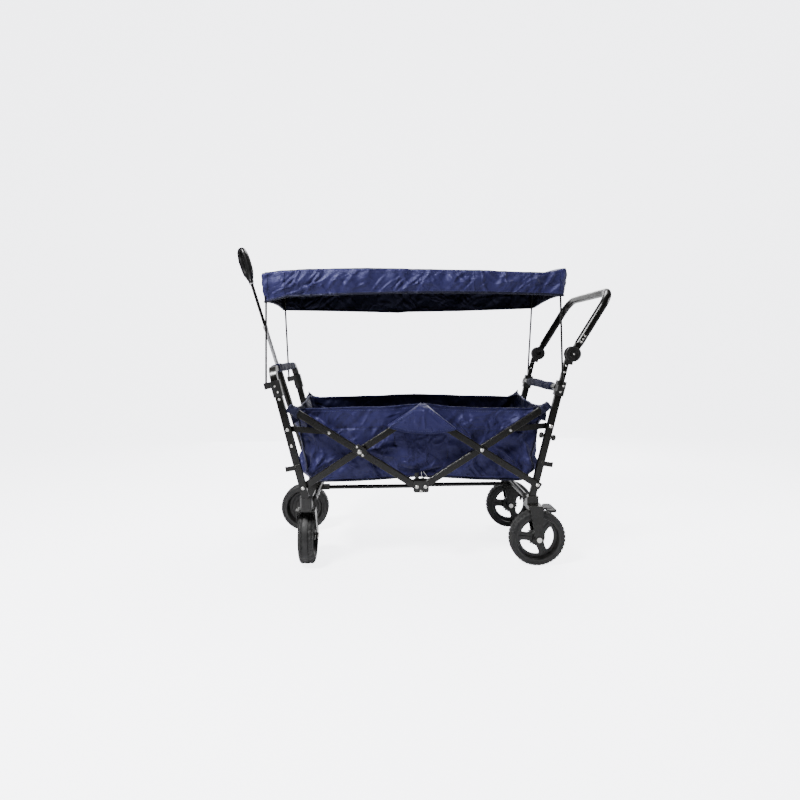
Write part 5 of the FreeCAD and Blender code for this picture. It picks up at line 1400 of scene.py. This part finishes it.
def push_bar_details():
    """Rivets on the push bar, its stems and the pole brackets; rings and dots on its knuckles."""
    lean = math.radians(31.3)
    reach = np.array([math.sin(lean), 0, math.cos(lean)])
    knuckle = np.array([0.530, 0, 0.751])
    for side_name, side in SIDES:
        out = (0, side, 0)
        arm = Build()
        spots = [tuple(knuckle + reach * d + (0, side * 0.2243, 0)) for d in (0.048, 0.060, 0.072)]
        rivet_heads(arm, spots, side, 0.0027)
        arm.done(f"{side_name}_arm_rivets", body_of(NODES["push_bar"])[0], "zinc", sharp=35)
        stem = Build()
        spots = [(x, side * 0.2164, z) for x, z in (post_point(1, up) for up in (0.405, 0.428))]
        rivet_heads(stem, spots, side, 0.0029)
        stem.done(f"{side_name}_stem_rivets", body_of(NODES["push_bar_stems"])[0], "zinc", sharp=35)
        ring = Build()
        centre = (knuckle[0], side * 0.222, knuckle[2])
        ring.lathe([(0.0258, -0.001), (0.0258, 0.0005), (0.0246, 0.0013), (0.0232, 0.0005), (0.0232, -0.001)],
                   centre, out, PLASTIC, 56)
        ring.lathe([(0.0150, -0.001), (0.0150, 0.0006), (0.0142, 0.0010), (0.0134, 0.0006), (0.0134, -0.001)],
                   centre, out, PLASTIC, 44)
        body = body_of(NODES["push_bar_knuckles"])[0]
        ring.done(f"{side_name}_knuckle_rings", body, "black_plastic", sharp=35)
        dot = Build()
        dot.ball((knuckle[0], side * 0.2268, knuckle[2]), (0.0034, 0.0012), out, ZINC, 20)
        body = body_of(NODES[f"{side_name}_knuckle_button"])[0]
        dot.done(f"{side_name}_button_dot", body, "zinc", sharp=35)
        for end, tag, middle, face in ((-1, "front", 0.354, 0.2474), (1, "rear", 0.346, 0.2354)):
            heads = Build()
            for off, rise in ((0.002, 0.010), (-0.003, -0.012)):
                x, z = post_point(end, middle + rise, off)
                heads.ball((x, side * face, z), (0.0036, 0.0017), out, ZINC, 20)
            heads.done(f"{side_name}_{tag}_bracket_heads", f"{tag}_frame", "zinc", sharp=35)
            bar = f"{side_name}_{tag}_{'outer' if end < 0 else 'inner'}_bar"
            low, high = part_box(bar)
            link = Build()
            rivet_heads(link, [(end * 0.315, low.y if side < 0 else high.y, 0.487)], side, 0.0034)
            link.done(f"{side_name}_{tag}_link_rivet", body_of(NODES[bar])[0], "zinc", sharp=35)


def hub_details():
    """Third rivet under each lower hub."""
    for side_name, side in SIDES:
        heads = Build()
        rivet_heads(heads, [(0.0, side * 0.2432, 0.2795)], side, 0.0040)
        heads.done(f"{side_name}_hub_foot_rivet", "hub_body", "zinc", sharp=35)


# ---------------------------------------------------------------- finishes of the carried-over parts
SLOT_FINISH = {"black_paint": BLACK, "zinc": ZINC, "chrome": CHROME, "black_plastic": PLASTIC,
               "navy_fabric": NAVY, "tyre": RUBBER}


def finish_nodes():
    """Gives every CAD node the finish of its slot; the brake pedal's bar is rubber-coated."""
    slots = {entry["node"]: entry.get("material_slot") for entry in frame["record"]["subparts"]}
    for name, node in NODES.items():
        material = RUBBER if name == "brake_bar" else SLOT_FINISH.get(slots.get(name), BLACK)
        node.data.materials.clear()
        node.data.materials.append(material)


# ---------------------------------------------------------------- stage
def make_stage():
    """Seamless pale sweep: flat floor that curves up behind the wagon."""
    n = Nodes("floor_paper")
    grain = n.remap(n.noise(1.3, 3.0), 0.3, 0.7, 0.0, 0.5)
    n.set(Base_Color=n.mix(grain, rgb(0.93, 0.93, 0.955), rgb(0.915, 0.915, 0.94)), Roughness=0.65)
    glow = n.node("Emission", Color=rgb(0.93, 0.935, 0.98), Strength=4.6)
    both = n.tree.nodes.new("ShaderNodeAddShader")
    n.link(n.shader.outputs[0], both.inputs[0])
    n.link(glow, both.inputs[1])
    seen = n.node("LightPath")
    pick = n.tree.nodes.new("ShaderNodeMixShader")
    n.put(pick.inputs[0], seen)
    n.link(n.shader.outputs[0], pick.inputs[1])
    n.link(both.outputs[0], pick.inputs[2])
    n.link(pick.outputs[0], n.out.inputs[0])
    section = [(-6.0, 0.0), (2.6, 0.0)]
    curve = 2.2
    for degrees in range(6, 91, 6):
        a = math.radians(degrees)
        section.append((2.6 + curve * math.sin(a), curve - curve * math.cos(a)))
    section.append((4.8, 7.0))
    verts = [(x, y, z) for y, z in section for x in (-9.0, 9.0)]
    mesh = bpy.data.meshes.new("floor")
    faces = [(2 * k, 2 * k + 1, 2 * k + 3, 2 * k + 2) for k in range(len(section) - 1)]
    mesh.from_pydata(verts, [], faces)
    mesh.polygons.foreach_set("use_smooth", [True] * len(mesh.polygons))
    mesh.materials.append(n.material)
    ground = bpy.data.objects.new("floor", mesh)
    bpy.context.scene.collection.objects.link(ground)
    world = bpy.data.worlds.new("studio")
    world.use_nodes = True
    tree = world.node_tree
    back = tree.nodes["Background"]
    seen = tree.nodes.new("ShaderNodeLightPath")
    strength = tree.nodes.new("ShaderNodeMapRange")
    tree.links.new(seen.outputs["Is Camera Ray"], strength.inputs[0])
    strength.inputs[3].default_value = 0.09
    strength.inputs[4].default_value = 5.5
    tree.links.new(strength.outputs[0], back.inputs["Strength"])
    back.inputs["Color"].default_value = (0.93, 0.935, 0.98, 1)
    bpy.context.scene.world = world
    for name, place, size, power, target in (
            ("key", (-1.5, -1.5, 2.7), 0.6, 170, (0, 0, 0.5)),
            ("side", (2.4, -0.3, 1.1), 0.7, 14, (0, 0, 0.5)),
            ("top", (0.4, 0.5, 2.6), 0.9, 55, (0, 0, 0.4)),
            ("rim", (1.2, 2.2, 1.8), 1.2, 30, (0, 0, 0.7)),
            ("wall", (0.0, 2.4, 0.9), 3.2, 34, (0, 0, 0.6))):
        light = bpy.data.lights.new(name, "AREA")
        light.size = size
        light.energy = power
        lamp = bpy.data.objects.new(name, light)
        lamp.location = place
        lamp.visible_camera = False
        lamp.rotation_euler = (Vector(target) - Vector(place)).to_track_quat("-Z", "Y").to_euler()
        bpy.context.scene.collection.objects.link(lamp)


def make_camera():
    """Camera fitted to the photo."""
    pitch, yaw, roll = 0.0918, 0.0316, -0.0056
    ahead = Vector((math.sin(yaw) * math.cos(pitch), math.cos(yaw) * math.cos(pitch), -math.sin(pitch)))
    data = bpy.data.cameras.new("photo_view")
    data.sensor_width = 36.0
    data.lens = 24.37
    camera = bpy.data.objects.new("photo_view", data)
    turn = ahead.to_track_quat("-Z", "Y").to_matrix().to_4x4() @ Matrix.Rotation(roll, 4, "Z")
    camera.matrix_world = Matrix.Translation((-0.1299, -2.0799, 0.7676)) @ turn
    bpy.context.scene.collection.objects.link(camera)
    bpy.context.scene.camera = camera


finish_nodes()
make_basket()
floor_panels()
for side_name, side in SIDES:
    side_flap(side_name, side)
    gathered_pocket(side_name, side)
    crossing_stop(side_name, side)
    for end in (-1, 1):
        corner_pouch(side_name, side, end)
        corner_gusset(side_name, side, end)
make_canopy()
wrap_sleeve()
padded_roll()
fold_straps()
for side_name, side in SIDES:
    for tag, pattern in (("front", "chevron"), ("rear", "blocks")):
        wheel = f"{side_name}_{tag}"
        tread_tyre(f"{wheel}_tread", f"{wheel}_tyre", f"{wheel}_wheel", pattern)
    for tag in ("front", "rear"):
        wheel = f"{side_name}_{tag}"
        moulded_rim(f"{wheel}_wheel_centre", f"{wheel}_rim", f"{wheel}_tyre", f"{wheel}_wheel",
                    tag == "rear")
loop_grip()
post_details()
braces()
end_caps()
push_bar_details()
hub_details()
make_stage()
make_camera()
